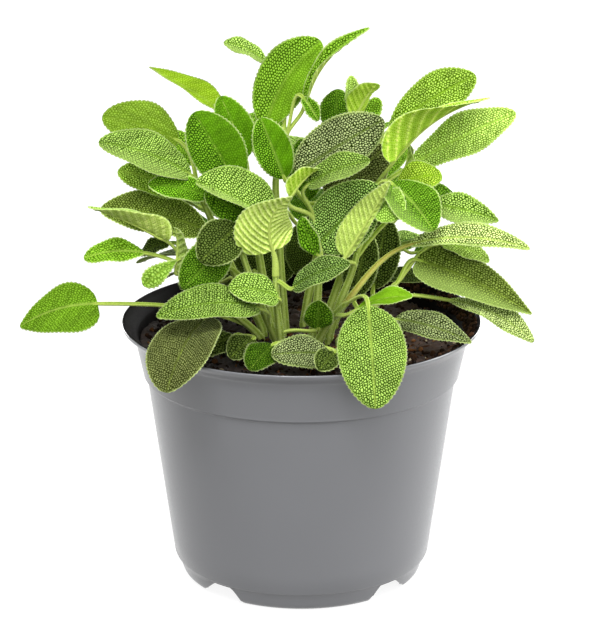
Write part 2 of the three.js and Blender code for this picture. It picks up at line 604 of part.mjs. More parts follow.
const soilSolid = () => {
  const floor = floorTop + FIT_GAP;
  const edge = SOIL_TOP - SOIL_UNEVEN;
  const side = (z) => [innerRadius(z) - FIT_GAP, z];
  const topRings = Array.from({ length: SOIL_RINGS }, (_, i) => (
    [side(edge)[0] * (1 - (i + 1) / SOIL_RINGS), SOIL_TOP]));
  const geometry = turned([
    [0, floor],
    side(floor),
    side(COLLAR_FOOT_HEIGHT - JUST_BELOW),
    side(COLLAR_FOOT_HEIGHT + STEP_HEIGHT + FIT_GAP),
    side(edge),
    ...topRings,
  ], SOIL_SIDES);
  const place = geometry.attributes.position;
  for (let i = 0; i < place.count; i += 1) {
    if (place.getZ(i) > edge + JUST_BELOW) place.setZ(i, soilHeight(place.getX(i), place.getY(i)));
  }
  let soil = solidFrom(geometry);
  for (const { path } of Object.values(stems)) {
    const [x, y] = path[0];
    const hole = new THREE.CylinderGeometry(HOLE_RADIUS, HOLE_RADIUS, 2 * HOLE_DEPTH, HOLE_SIDES);
    hole.rotateX(Math.PI / 2);
    hole.translate(x, y, SOIL_TOP);
    soil = soil.subtract(solidFrom(hole));
  }
  return soil;
};

const potPlastic = new THREE.MeshStandardMaterial({ color: 0x7e8082, roughness: 0.38, metalness: 0 });
const darkSoil = new THREE.MeshStandardMaterial({ color: 0x2c2019, roughness: 0.95, metalness: 0 });
const sageGreen = new THREE.MeshStandardMaterial({ color: 0x6f9a3c, roughness: 0.75, metalness: 0 });

const plant = new THREE.Group();
const addPiece = (name, solid, material) => {
  const mesh = new THREE.Mesh(geometryFrom(solid), material);
  mesh.name = name;
  plant.add(mesh);
};

addPiece('pot', potSolid(), potPlastic);
addPiece('soil', soilSolid(), darkSoil);
for (const [name, stem] of Object.entries(stems)) addPiece(name, leafyStem(stem), sageGreen);

// The origin is under the middle of the whole plant's box
const box = new THREE.Box3().setFromObject(plant, true);
const middle = box.getCenter(new THREE.Vector3());
plant.position.set(-middle.x, -middle.y, 0);

export default plant;
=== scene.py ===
# A potted sage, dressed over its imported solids. Sizes below are millimetres from the pot's own axis
# at the surface it stands on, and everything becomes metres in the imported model's frame when it is made.

import math

import bpy
import numpy as np
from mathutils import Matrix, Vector


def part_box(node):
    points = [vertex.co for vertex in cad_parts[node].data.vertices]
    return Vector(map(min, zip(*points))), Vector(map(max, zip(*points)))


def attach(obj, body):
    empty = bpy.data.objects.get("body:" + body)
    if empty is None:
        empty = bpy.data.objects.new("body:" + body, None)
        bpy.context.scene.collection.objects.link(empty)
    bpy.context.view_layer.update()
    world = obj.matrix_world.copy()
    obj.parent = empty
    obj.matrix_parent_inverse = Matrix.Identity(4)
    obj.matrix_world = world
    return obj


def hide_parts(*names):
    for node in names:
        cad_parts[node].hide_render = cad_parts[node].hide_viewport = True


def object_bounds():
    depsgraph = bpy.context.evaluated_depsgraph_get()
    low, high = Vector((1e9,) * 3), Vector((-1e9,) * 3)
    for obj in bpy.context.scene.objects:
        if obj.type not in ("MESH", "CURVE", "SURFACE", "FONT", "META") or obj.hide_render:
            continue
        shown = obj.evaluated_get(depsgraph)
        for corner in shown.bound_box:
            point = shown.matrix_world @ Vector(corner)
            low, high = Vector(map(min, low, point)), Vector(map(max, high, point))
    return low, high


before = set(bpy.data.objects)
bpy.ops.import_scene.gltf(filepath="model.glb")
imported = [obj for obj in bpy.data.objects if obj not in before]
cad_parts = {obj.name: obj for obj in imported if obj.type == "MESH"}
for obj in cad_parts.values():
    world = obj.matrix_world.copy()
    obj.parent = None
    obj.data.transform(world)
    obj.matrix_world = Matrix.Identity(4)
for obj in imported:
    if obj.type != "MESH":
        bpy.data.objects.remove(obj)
cad_low, cad_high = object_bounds()

MM = 0.001
SEED = 7
SOIL_SEED, CRUMB_SEED = 100, 200
pot_low, pot_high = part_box("pot")
AXIS = np.array([(pot_low.x + pot_high.x) / 2, (pot_low.y + pot_high.y) / 2, pot_low.z])

# The camera, which was fitted to the pot's rim, step and foot. Its reach is in metres
CAMERA_PLACE = (-0.5, -953.1, 398.8)
CAMERA_TARGET = (-0.5, 0, 96.1)
CAMERA_LENS = 156.3
CAMERA_REACH = 20
TOWARDS_CAMERA = (0, -0.95, 0.3)

# How bright the surroundings are straight above and straight below. Then each light's place from the
# pot's axis in metres, its size in metres and its power in watts, and how high all of them aim
LIGHT_ABOVE = 0.64
LIGHT_BELOW = 0.12
LIGHTS = (
    ("key", (-0.2, -0.7, 1.15), (0.7, 0.5), 15),
    ("front", (0.1, -1.3, 0.75), (1.0, 0.7), 10),
    ("front_right", (0.85, -0.9, 0.42), (0.4, 0.6), 2.8),
    ("right", (0.75, 0.05, 0.3), (0.3, 0.8), 6.5),
    ("left", (-0.75, 0.35, 0.3), (0.2, 0.8), 0.8),
    ("back_right", (0.5, 0.85, 0.25), (0.4, 0.7), 9),
    ("back_left", (-0.5, 0.95, 0.25), (0.4, 0.7), 9),
)
LIGHT_AIM = 0.12

# The floor it stands on, in metres, and how light it is
FLOOR_SIZE = 8
FLOOR_DROP = 0.0002
FLOOR_TONE = 0.16
FLOOR_GLOW = 0.9

# The pot, by heights and outer radii from its lip down to its ring of feet
POT_HEIGHT = 96
RIM_RADIUS = 65
LIP_DROP = 1
LIP_WIDTH = 1
COLLAR_TOP_HEIGHT = 91
COLLAR_TOP_RADIUS = 60.4
FLARE_LIFT = 0.6
COLLAR_FOOT_RADIUS = 57.4
COLLAR_FOOT_HEIGHT = 75.7
STEP_HEIGHT = 1.2
STEP_TOP_HEIGHT = COLLAR_FOOT_HEIGHT + STEP_HEIGHT
BODY_TOP_RADIUS = 56.1
BODY_FOOT_RADIUS = 46.6
RING_HEIGHT = 6.5
RING_TOP_RADIUS = 45.4
RING_ROUND_RADIUS = 43.9
RING_FOOT_RADIUS = 41.4
RING_ROUND_HEIGHT = 1.8
RING_LEDGE = 0.4
WALL = 1.2
FLOOR_LIFT = 0.6
POT_FLOOR_HEIGHT = RING_HEIGHT + FLOOR_LIFT
ROUNDING = 0.45
BODY_ROUNDING = 1.1
LIP_ROUNDING = 0.4
POT_COLUMNS = 240
POT_GREY = (104, 105, 108)
POT_BLACK = (9, 7, 6)

# The notches between its feet: where each one is, in degrees from the front, and which of its sides is
# the far one. Then how far each side reaches, from where it is fully cut, and how each side rises
NOTCH_OFF = 41.5
NOTCHES = ((NOTCH_OFF, 1), (-NOTCH_OFF, -1), (180 - NOTCH_OFF, -1), (180 + NOTCH_OFF, 1))
NOTCH_TURN = 2.6
NOTCH_NEAR_ANGLE = 9.5
NOTCH_FAR_ANGLE = 18
NOTCH_TOP_ANGLE = 5
NOTCH_HEIGHT = 6.3
NOTCH_NEAR_CURVE = 0.75
NOTCH_FAR_CURVE = 1.2

# The holes in its floor, and how many sides they and the floor have
DRAINS = 6
DRAIN_RADIUS = 3.5
DRAIN_CIRCLE_RADIUS = 29
DRAIN_SIDES = 32
DISC_SIDES = 96

# The soil. Its swells have a length across and one from front to back, those that cross them a length
# and a slant, and its lumps a length and a height. It has painted shade, darker on the left
SOIL_TOP = 88.5
SOIL_GAP = 0.25
SOIL_CENTRE, SOIL_STEP = 0.01, 1.0
SOIL_COLUMNS = 300
SOIL_MIDDLE_HEIGHT = 40
SOIL_UNEVEN = 1.1
SOIL_SWELLS = (30, 37)
SOIL_CROSS_SWELL, SOIL_SLANT = 19, 0.36
SOIL_LUMPS = ((9, 0.3), (4, 0.35), (2.1, 0.3), (1.3, 0.2))
LUMP_WAVES = 7
PAINTED_SHADE_FROM, PAINTED_SHADE_TO = -30, 35
PAINTED_SHADE_LEVEL = 0.3
SOIL_TONE = (56, 38, 29)
SOIL_FLECK = (4.5, 4.0, 3.4, 1)

# Loose crumbs and bark chips on the soil, and crumbs on the lip. A crumb of COARSE_CRUMB or more, and
# each chip, is rounder than the rest
CRUMBS = 1300
CHIPS = 220
LIP_CRUMBS = 650
LIP_CRUMB_ARC = (-48, 62)
LIP_CRUMB_CROWD = 1.2
LIP_CRUMB_GAP = 0.6
CRUMB_GAP = 2.5
COARSE_CRUMB = 1.0
CRUMB_SIZES, CRUMB_SPREAD = (0.3, 1.1), (0.7, 1.3)
CHIP_SIZES = ((1.2, 2.8), (0.5, 1.1), (0.25, 0.5))
CRUMB_ROUGHNESS = (0.78, 1.22)
CRUMB_TILT = 0.5
CRUMB_LIFT = 0.3
CRUMB_TONES = ((48, 34, 25), (70, 48, 33), (30, 22, 18), (116, 78, 48), (150, 108, 70), (196, 180, 150))
CRUMB_WEIGHTS = (0.34, 0.24, 0.22, 0.11, 0.06, 0.03)
CRUMB_LIGHTS = (0.6, 1.0)

# Stems
STEM_ROOT_RADIUS = 1.75
STEM_TOP_RADIUS = 1.0
STEM_SIDES = 20
STEM_STEPS = 44
STEM_FOOT = 79.8
STEM_BURIED_SHARE = 0.4
STEM_BEND_DEPTH = 1
STEM_CORNER = 0.1
STEM_SWELL, STEM_SWELLS, STEM_SWELL_TURN = 0.06, 4, 6
STEM_END = 0.6
STEM_HAIRS = 420
STEM_LIGHTS = (0.75, 1.1)

# Leaf stalks, which run on under the blades as their ribs. They have a channel along the upper side
STALK_REACH = 0.38
HIGHEST_STALK = 0.97
STALK_HALF_WIDTH = 0.82
STALK_HALF_HEIGHT = 0.66
STALK_SIDES = 12
STALK_STEPS = 16
STALK_HAIRS_PER_MM = 5
CHANNEL_DEPTH, CHANNEL_WIDTH = 0.28, 0.5
STALK_STRIPES, STRIPE_SHARE = 5, 0.3
RED_TURN = 0.6
RIB_STEPS = 22
RIB_END = 0.94
RIB_TAPER, RIB_TAPER_POWER = 0.82, 0.7
RIB_WIDTH_SHARE = 0.9
RIB_SINK, RIB_SINK_END = 0.85, 0.1

# Blades: outline, rows that crowd towards the ends and columns that crowd towards the margins
ROUNDNESS = 0.54
FINE_STEP = 0.36
COARSE_STEP = 0.61
MIDDLE_DEPTH = 15
ROW_SHARE = 1.15
FEWEST_COLUMNS = 6
HIDDEN_FACE_SHARE = 5
END_CROWDING = 0.35
SIDE_CROWDING = 0.25
BLADE_THICKNESS = 0.5
BODY_POWER = 6
FOLD_POWER = 1.25
RIPPLE = 0.55
RIPPLES = 1.7
RIPPLE_TURN = 0.4
RIPPLE_POWER = 1.4
TOOTH_PITCH = 1.4
TOOTH_DEPTH = 0.5
TOOTH_MIDDLE = 0.6
TOOTH_POWER = 8

# Side veins, which lean forward by a random slope and curve. VEIN_ACROSS turns the way along the rib
# into the way across a vein
SIDE_VEIN_PITCH = 3.6
FEWEST_SIDE_VEINS = 7
MOST_SIDE_VEINS = 12
VEIN_SLOPES = (0.6, 0.85)
VEIN_CURVE = 0.022
VEIN_ACROSS = 0.78
VEIN_WIDTH = 0.26

# Relief of a blade: the net of pebbles, the quilting between its veins, veins, rib and soft margin
PEBBLE_PITCH = 0.9
PEBBLE_HEIGHT = 0.32
PEBBLE_CREASE, PEBBLE_CREST = -0.5, 0.8
HALF_BLEND = 0.15
NET_RISE = math.sqrt(3) / 2
NET_WAYS = ((1, 0, 0), (0.5, NET_RISE, 0), (0.5, -NET_RISE, 0))
NET_BEND = 0.33
NET_BEND_LENGTH = 3.6
NET_CREASE, NET_CREST = -0.36, 0.32
NET_BUMP = 0.2
QUILT_HEIGHT = 0.07
UNDER_QUILT_HEIGHT = 0.11
VEIN_HEIGHT = 0.3
UNDER_PEBBLE_DEPTH = 0.12
VEIN_CUT = 0.15
RIB_GROOVE = 0.3
RIB_HALF_WIDTHS = (0.6, 0.22)
TOP_SINK = 0.08
FADE_FROM, FADE_TO = 0.1, 1.3
FADED_RELIEF = 0.35
EDGE_FROM, EDGE_TO = 0.1, 0.6
PATCH_LENGTH = 14
PATCH_SHARES, PATCH_SCALE = (1, 0.6, 0.35), 1.5

# Hairs
HAIR_PITCH = 0.4
HAIR_LENGTH = 0.45
HAIR_LENGTHS = (0.55, 1.25)
HAIR_RADIUS = 0.04
HAIR_SLANT, HAIR_LEAN = 0.45, 0.3
HAIR_SINK = 0.05

# Tones of a blade: its middle as it looks in even light, the tops of its pebbles with a painted highlight
# and the creases between them with painted shade, as 8-bit values, and how strong its relief is
TONES = {
    "vivid": ((86, 138, 10), (120, 172, 44), (52, 100, 0), 1.0),
    "bright": ((114, 162, 28), (150, 200, 66), (80, 128, 4), 1.0),
    "lime": ((144, 188, 46), (184, 224, 100), (106, 152, 8), 0.9),
    "backlit": ((156, 202, 30), (200, 234, 92), (122, 174, 0), 0.6),
    "soft": ((162, 198, 90), (190, 222, 122), (128, 168, 54), 0.8),
    "sage": ((126, 168, 56), (184, 222, 116), (74, 116, 12), 1.1),
    "frosted": ((152, 182, 88), (222, 244, 166), (90, 120, 30), 1.2),
    "mid": ((84, 130, 20), (110, 156, 44), (56, 100, 2), 0.9),
    "deep": ((84, 120, 36), (150, 184, 104), (40, 72, 2), 1.5),
    "dark": ((66, 86, 28), (98, 118, 58), (40, 58, 6), 1.0),
    "olive": ((96, 106, 54), (128, 138, 88), (66, 76, 26), 0.9),
    "dusky": ((102, 124, 44), (130, 150, 74), (74, 96, 20), 0.9),
    "silver": ((104, 126, 62), (178, 194, 142), (46, 66, 8), 1.25),
    "under": ((150, 182, 80), (212, 232, 158), (92, 126, 24), 1.0),
    "fresh": ((146, 184, 48), (208, 232, 112), (104, 142, 4), 1.0),
    "pale": ((178, 206, 98), (232, 248, 164), (124, 154, 36), 1.2),
    "leafy": ((150, 186, 40), (212, 232, 130), (96, 146, 8), 1.0),
}

# How light the upper face's three tones are made, which brightens the painted highlight on the pebbles'
# tops and darkens the painted shade in their creases, how strong all tones are in the shader and the
# lightest that a tint may be
LEVEL_LIGHTS = (1, 1.12, 0.58)
TONE_SCALE = np.array((0.81, 0.81, 0.66))
LIGHTEST = 0.95
PALE_TONE = (168, 196, 112)
RIB_TONE = (186, 208, 110)
# A blade's pale margin: partly its own down and partly a painted backlit rim
EDGE_TONE = (200, 218, 150)
HAIR_TONE = (214, 228, 176)
STALK_TONE = (176, 194, 96)
STALK_GROOVE_TONE = (122, 150, 44)
STALK_RED_TONE = (150, 104, 60)
STEM_TONE = (170, 188, 98)
STEM_GROOVE_TONE = (118, 140, 50)

# How far a blade's tint goes to each of these tones, and how much its patches vary it
RIB_SHARE, UNDER_RIB_SHARE = 0.75, 0.7
EDGE_SHARE = 0.8
VEIN_SHARE, UNDER_VEIN_SHARE = 0.06, 0.8
UNDER_GRAIN = 0.35
# Painted shade in the underside's hollows between veins and in the groove of a rib that is not pale
UNDER_HOLLOW_PAINTED_SHADE = 0.4
RIB_GROOVE_PAINTED_SHADE = 0.45
PALE_REACH = 0.8
PATCH_TINT = 0.12

# The slots of a plant's materials
BLADE, STALK, HAIR = 0, 1, 2

# A leaf's form and look, unless its line below says otherwise
LEAF = dict(
    arch=2,  # of the rib
    fold=8,  # of the halves, in degrees
    side=0,  # how far the rib bends sideways
    halves=(1, 1),  # the left and right half's part of the width
    widest=0.48,  # the place along the rib
    pointed=0,
    wave=1,
    stalk=1,  # how thick it is
    under="under",  # the underside's tone
    # A leaf's light is partly its own tone and partly painted light and shade, as it stands more or less lit
    light=1,  # of both tones
    pale=0,  # how much paler one half is, below 0 the left one
    rib=0.15,  # how pale it is
    relief=(1, 1),  # how rough the left and right half are
    veins=0,  # how many to a side, where 0 goes by the length
    # The streaks also set the painted shade in the underside's hollows between its veins
    streaks=0.75,  # how strongly the veins streak the underside
    red=0,  # how red the stalk is
)


def leaf(at, base, tip, width, face, tone, **form):
    """A leaf: where it leaves its stem, as a share of the stem's length, its blade's base and tip, width,
    the way its upper face looks, its upper tone and what else sets it apart."""
    return dict(LEAF, at=at, base=base, tip=tip, width=width, face=face, tone=tone, **form)


# Each stem's path and its leaves
STEMS = {
    "stem_top": ([[-6, 6, 90], [-8, 8, 122], [-9, 9, 148], [-5, 10, 163]], [
        leaf(0.96, [-13, 12, 163], [7, 20, 194], 21, [-1, -3, 1], "bright", fold=12, side=-3, widest=0.54,
             rib=0.3, relief=(1, 0.4), light=0.88),
        leaf(1.0, [1, 8, 173], [24, 4, 202], 15, [-2, -1, 1], "bright", arch=5, fold=38, halves=(0.5, 0.7),
             under="pale", rib=0.4),
        leaf(0.98, [0.5, 6, 176.5], [6, 3, 168.5], 6, [1, -3, 1], "vivid", arch=1, fold=20, rib=0.8),
        leaf(0.9, [-12, 22, 185], [-28, 22, 193], 9, [0, -1, 2], "sage", widest=0.58, pale=-0.5, light=0.94),
        leaf(0.8, [-6, -3, 149], [-14.5, 2, 170], 14, [0, -3, 1], "vivid", fold=12, rib=0.4,
             relief=(1, 0.25)),
        leaf(0.7, [-12, 22, 148], [-16, 44, 162], 17, [0, 1, 3], "bright", arch=3),
        leaf(0.5, [0, 24, 126], [8, 46, 132], 16, [0, 1, 3], "mid", arch=3),
    ]),
    "stem_upper_left": ([[-10, 0, 90], [-14, 0, 112], [-17, -1, 132], [-19, 0, 143]], [
        leaf(1.0, [-22, -4, 145.5], [-38, 0, 172.5], 20, [0, -2, 1], "vivid", fold=10, widest=0.52,
             light=0.9, relief=(1, 0.3)),
        leaf(1.0, [-20, 6, 154], [-29, 10, 176], 14, [1, -3, 1], "vivid", relief=(0.4, 0.3)),
        leaf(0.95, [-28, 14, 169], [-55, 22, 184], 13, [0, -1, 3], "backlit", arch=1, halves=(0.45, 1.2),
             widest=0.42, pointed=0.7, under="backlit", rib=0.5, light=0.66, relief=(0.4, 0.4)),
        leaf(0.9, [-9, -15, 134], [-37, -19, 152], 24, [0, -1, 2], "sage", arch=3, fold=22,
             halves=(0.5, 1.05), pale=-0.6, rib=0.3, light=0.9),
        leaf(0.8, [-18, -10, 135], [-34, -9, 146], 12, [0, -2, 1], "vivid"),
        leaf(0.9, [-24, 14, 144], [-38, 38, 154], 17, [0, 1, 3], "bright", arch=3),
    ]),
    "stem_left": ([[-14, 4, 90], [-24, 3, 112], [-32, 1, 132], [-36, 0, 142]], [
        leaf(1.0, [-39, -6, 151], [-71, -14, 165], 20, [0, -2, 3], "sage", arch=3, fold=5, halves=(0.85, 1),
             pale=-0.45, light=0.8),
        leaf(1.0, [-44, 8, 160], [-71, 6, 169.5], 19, [0, -1, 1], "lime", arch=3, light=0.58,
             relief=(0.5, 0.5)),
        leaf(0.9, [-40, 4, 142], [-66, 8, 149], 14, [0, -1, 1], "lime", rib=0.6),
        leaf(0.9, [-33, -8, 144], [-54, -13, 149.5], 11, [0, -1, 1], "vivid", light=1.3),
        leaf(0.7, [-34, 0, 129], [-72, 0, 137], 20, [0, -2, 3], "dusky", arch=3, light=1.4),
        leaf(0.6, [-32, 14, 124], [-58, 32, 128], 18, [0, 1, 3], "mid", arch=3),
        leaf(0.3, [-32, 16, 106], [-50, 24, 104], 14, [0, 0, 1], "dark", arch=3),
    ]),
    "stem_low_left": ([[-15, -4, 90], [-26, -8, 102], [-35, -11, 112], [-41, -12, 120]], [
        leaf(0.98, [-48, -13, 129], [-75, -19, 143], 16, [0, 0, 1], "sage", arch=1, fold=52,
             halves=(1.2, 0.7), widest=0.26, under="pale", light=1.4, pointed=0.15),
        leaf(0.9, [-56, -8, 123], [-77.5, -10, 121.5], 12.5, [0, -1, 2], "bright", widest=0.52, rib=0.7,
             light=1.14, relief=(0.8, 0.8)),
        leaf(0.15, [-73, -8, 104], [-101, -10, 96], 19, [0, -2, 3], "bright", arch=3.5, halves=(1.45, 1.05),
             widest=0.34, pointed=0.45, rib=0.8, light=0.8, relief=(0.6, 0.6)),
        leaf(0.98, [-43.5, -16, 123], [-56, -20, 114.5], 7.5, [0, -2, 1], "sage", arch=1, widest=0.68,
             relief=(0.5, 0.5)),
        leaf(0.9, [-44.5, -15, 118], [-44, -19, 135.5], 7, [1, 1, 0], "mid", arch=1, fold=40),
        leaf(0.85, [-47, -2, 125], [-58, 0, 120], 9, [0, -1, 2], "dark", arch=1),
    ]),
    "stem_front_left": ([[-9, -9, 90], [-14, -13, 104], [-18, -16, 116], [-21, -18, 126]], [
        leaf(1.0, [-22.5, -16.5, 135.5], [-35.5, -26, 125], 16.5, [0, -3, 1], "dark", fold=6),
        leaf(0.9, [-26, -15, 129], [-42, -20, 113], 16, [0, -3, 1], "mid"),
        leaf(0.15, [-15, -26, 108], [-50, -46, 111], 19.5, [0, -1, 2], "sage", arch=4, pointed=0.35,
             light=0.66),
        leaf(0.3, [-33, -27, 105], [-46, -65, 90], 25, [-1, -2, 3], "olive", arch=4, widest=0.52, light=0.88),
        leaf(0.5, [-32, -4, 116], [-44, -4, 109], 9, [0, -2, 1], "dark", arch=1),
    ]),
    "stem_front": ([[-7, -17, 90], [-8, -19, 100], [-9, -21, 112], [-9, -22, 119]], [
        leaf(1.0, [-10, -23, 128], [-3, -31, 150], 22, [-1, 4, 1], "mid", fold=15, side=4,
             halves=(0.85,
             1.15), stalk=1.6, under="pale", veins=11, widest=0.26, pointed=0.8, light=1.25, streaks=1),
        leaf(0.9, [-3, -25, 115], [17, -32, 126], 12.5, [0, -2, 3], "deep", fold=10, light=0.88),
        leaf(0.2, [6, -18, 98], [6, -23, 110], 11, [0, -3, 1], "mid", arch=1),
        leaf(0.5, [-8, -24, 111], [-25.5, -30, 116.5], 15, [0, -2, 3], "sage"),
    ]),
    "stem_front_right": ([[6, -11, 90], [9, -15, 98], [13, -20, 105], [16, -26, 110]], [
        leaf(1.0, [23, -46, 115], [25, -73, 87], 24, [0, -1, 1], "sage", fold=6, rib=0.85, light=0.8),
        leaf(0.5, [19, -36, 110.5], [38.4, -43, 117.5], 10.5, [0, -1, 3], "bright", fold=10, widest=0.58,
             relief=(0.1, 0.1)),
        leaf(0.6, [38, -17, 128.5], [80, -24, 129], 13, [0, -2, 3], "frosted", arch=5, halves=(1, 0.6),
             stalk=1.7, rib=0.9, red=0.5, light=1.06),
    ]),
    "stem_middle": ([[4, -2, 90], [6, -4, 108], [6, -6, 126], [4, -8, 138]], [
        leaf(1.0, [-2, -8, 152], [29, -5, 171], 20, [0, -2, 1], "silver", arch=3, light=0.88),
        leaf(1.0, [2, -16, 150], [24, -20, 160], 13, [0, -2, 3], "sage", fold=12, pale=0.5, light=0.7),
        leaf(0.7, [5, -8, 125], [27, -12, 149], 23, [0, -2, 1], "deep", fold=5, light=1.7),
        leaf(0.95, [-4, -17, 146], [6, -19, 157], 10, [-1, 1, 1], "sage", arch=1, fold=42, under="fresh",
             light=1.2),
        leaf(0.7, [6, -18, 125], [0, -14, 138], 9, [-2, -2, 1], "vivid", arch=1),
    ]),
    "stem_middle_right": ([[10, -3, 90], [14, -6, 104], [18, -9, 116], [20, -10, 124]], [
        leaf(0.8, [15.4, -18.5, 124.5], [31, -24, 153.5], 16, [1, 3, 0], "mid", fold=10, halves=(0.25, 1),
             widest=0.32, pointed=0.4, wave=1.5, stalk=1.4, under="pale", veins=13, streaks=0.35),
        leaf(1.0, [29.5, -15, 144.5], [35.5, -25, 141.5], 14, [-1, -3, 1], "sage", light=1.25,
             relief=(0.6, 0.6)),
        leaf(1.0, [31.5, -13, 150], [46, -26, 136], 20, [1, -2, 2], "mid", pale=0.3, rib=0.6, light=1.16),
        leaf(0.9, [34, -3, 146], [50, -3, 150], 13, [0, -1, 1], "backlit", arch=3, light=0.76),
        leaf(0.9, [46, -5, 140], [70, -9, 135], 13, [0, -1, 1], "sage", pointed=0.5, pale=0.6, light=0.94),
    ]),
    "stem_upper_right": ([[8, 6, 90], [15, 6, 112], [22, 5, 132], [26, 4, 144]], [
        leaf(1.0, [31, 10, 163], [62, 8, 184], 18, [0, -1, 1], "lime", arch=3, widest=0.58, light=0.86),
        leaf(1.0, [33, -4, 156], [66, -10, 180], 27, [-1, 0, 2], "lime", arch=4, fold=46, halves=(0.4, 1.1),
             widest=0.28, pointed=0.3, stalk=1.2, under="leafy", veins=7, light=1.6, streaks=1.2),
        leaf(0.9, [39, 14, 149], [77, 14, 169], 17, [0, -1, 1], "soft", widest=0.54, wave=2.5, light=1.28),
        leaf(0.95, [36, 2, 148], [38, 2, 161], 7, [1, 0, 0], "dark", arch=1, fold=40),
        leaf(0.75, [10, 6, 137], [30, 8, 158], 21, [0, -2, 1], "olive"),
        leaf(0.7, [26, 18, 140], [40, 44, 148], 17, [0, 1, 3], "bright", arch=3),
        leaf(0.45, [34, 19, 118], [62, 21, 115], 16, [0, 1, 3], "mid", arch=3),
    ]),
    "stem_low_right": ([[14, -8, 90], [22, -10, 100], [30, -11, 108], [34, -12, 113]], [
        leaf(1.0, [41, -10, 121], [81.5, -22, 104.5], 23, [0, -2, 3], "dusky", arch=3, halves=(0.88, 0.92),
             widest=0.32, pointed=0.55, pale=0.5, light=0.96),
        leaf(0.6, [52, -16, 108], [82, -27, 95.8], 14, [1, -1, 3], "frosted", arch=3, widest=0.58, rib=0.5,
             light=0.78),
        leaf(0.4, [33, -22, 102.5], [59.5, -35, 98], 14, [0, -1, 2], "silver", widest=0.4, pointed=0.4,
             rib=0.3, light=0.78),
        leaf(0.95, [50, -7, 126], [67, -9, 120], 10, [0, -1, 2], "soft"),
        leaf(0.5, [26, 4, 106], [31, 10, 131], 15, [0, -2, 1], "dark", rib=0.3),
        leaf(0.3, [19, 0, 104], [24, 3, 128], 13, [0, -2, 1], "dark", rib=0.3),
    ]),
    "stem_back": ([[1, 16, 90], [6, 20, 115], [12, 22, 138], [16, 22, 152]], [
        leaf(1.0, [14, 21, 159], [13, 26, 175], 13, [-1, -3, 0], "mid"),
        leaf(1.0, [18, 23, 164], [18, 26, 180], 7, [1, -3, 0], "soft", arch=1, fold=20),
        leaf(1.0, [19, 17, 166], [27, 13, 180], 12, [-1, 2, 1], "bright", arch=1, fold=34, under="fresh",
             light=1.08),
        leaf(1.0, [23, 21, 163], [28, 25, 172], 7, [0, -3, 1], "bright", arch=1),
        leaf(0.9, [18, 34, 150], [34, 58, 154], 18, [0, 1, 3], "bright", arch=3),
        leaf(0.8, [6, 34, 140], [-6, 64, 148], 19, [0, 1, 3], "sage", arch=3),
        leaf(0.6, [14, 38, 122], [22, 74, 122], 20, [0, 1, 3], "mid", arch=4),
        leaf(0.4, [2, 36, 106], [-4, 72, 98], 18, [0, 1, 3], "dark", arch=4),
        leaf(0.3, [3, 24, 103], [7, 21, 130], 22, [0, -3, 1], "dark"),
        leaf(0.6, [2, 22, 134], [0, 20, 158], 13, [0, -3, 1], "mid"),
    ]),
    "stem_back_left": ([[-10, 14, 90], [-18, 24, 108], [-25, 31, 124], [-30, 35, 136]], [
        leaf(1.0, [-36, 38, 144], [-60, 44, 150], 17, [0, -1, 2], "bright", arch=3),
        leaf(1.0, [-28, 42, 142], [-32, 62, 156], 18, [0, 1, 3], "bright"),
        leaf(0.9, [-38, 40, 127], [-70, 48, 126], 19, [0, 1, 3], "mid", arch=4),
        leaf(0.8, [-28, 44, 122], [-40, 74, 120], 19, [-1, 1, 3], "sage", arch=4),
        leaf(0.5, [-30, 32, 106], [-62, 50, 102], 18, [-1, 1, 3], "dark", arch=4),
        leaf(0.4, [-16, 34, 104], [-26, 68, 98], 17, [0, 1, 3], "mid", arch=4),
        leaf(0.2, [-8, 29, 100], [-15, 27, 127], 20, [0, -3, 1], "dark"),
        leaf(0.3, [-18, 25, 100], [-30, 22, 122], 18, [0, -3, 1], "dark"),
    ]),
    "stem_back_right": ([[12, 13, 90], [21, 23, 104], [29, 30, 115], [34, 33, 123]], [
        leaf(1.0, [40, 34, 128], [60, 42, 128], 17, [0, -1, 2], "mid", arch=3),
        leaf(1.0, [36, 42, 130], [46, 66, 132], 18, [1, 1, 3], "bright", arch=3),
        leaf(0.8, [42, 30, 112], [70, 38, 103], 18, [1, 0, 3], "mid", arch=4),
        leaf(0.6, [34, 38, 110], [56, 64, 104], 18, [1, 1, 3], "sage", arch=4),
        leaf(0.4, [26, 18, 104], [56, 22, 101], 16, [1, 0, 3], "dark", arch=3),
    ]),
    "stem_small_front": ([[-2, -24, 90], [-2, -27, 92], [-2, -29, 94], [-2, -30, 96]], [
        leaf(0.9, [-10, -34, 97], [-18, -50, 93], 12, [0, -1, 1], "mid", arch=1, light=0.5),
        leaf(1.0, [10, -36, 94.5], [-10.5, -45, 97], 13.5, [0, -1, 1], "silver", arch=1, light=0.84),
        leaf(0.8, [12, -35, 94.5], [6, -49, 92.5], 10, [0, -1, 1], "dark", arch=1),
    ]),
    "stem_small_left": ([[-17, -14, 90], [-19, -17, 92], [-20, -19, 94], [-21, -20, 96]], [
        leaf(0.9, [-17, -27, 97], [-25, -37, 93], 11, [0, -1, 1], "dark", arch=1),
        leaf(1.0, [-24, -24, 97], [-36, -32, 93], 10, [0, -1, 1], "dark", arch=1),
    ]),
}


def unit(v):
    """The vector, or each row of vectors, at length 1."""
    return v / np.maximum(np.linalg.norm(v, axis=-1, keepdims=True), 1e-12)


def linear(tone):
    """An 8-bit colour as linear light."""
    c = np.asarray(tone, float) / 255
    return np.where(c <= 0.04045, c / 12.92, ((c + 0.055) / 1.055) ** 2.4)


def smooth(low, high, x):
    """0 below low and 1 above high, with a soft rise between them."""
    t = np.clip((x - low) / (high - low), 0, 1)
    return t * t * (3 - 2 * t)


def blend(a, b, share):
    """From a at share 0 to b at share 1."""
    return a + (b - a) * share


def around(sides):
    """Angles of points around a ring, in radians."""
    return np.linspace(0, 2 * math.pi, sides, endpoint=False)


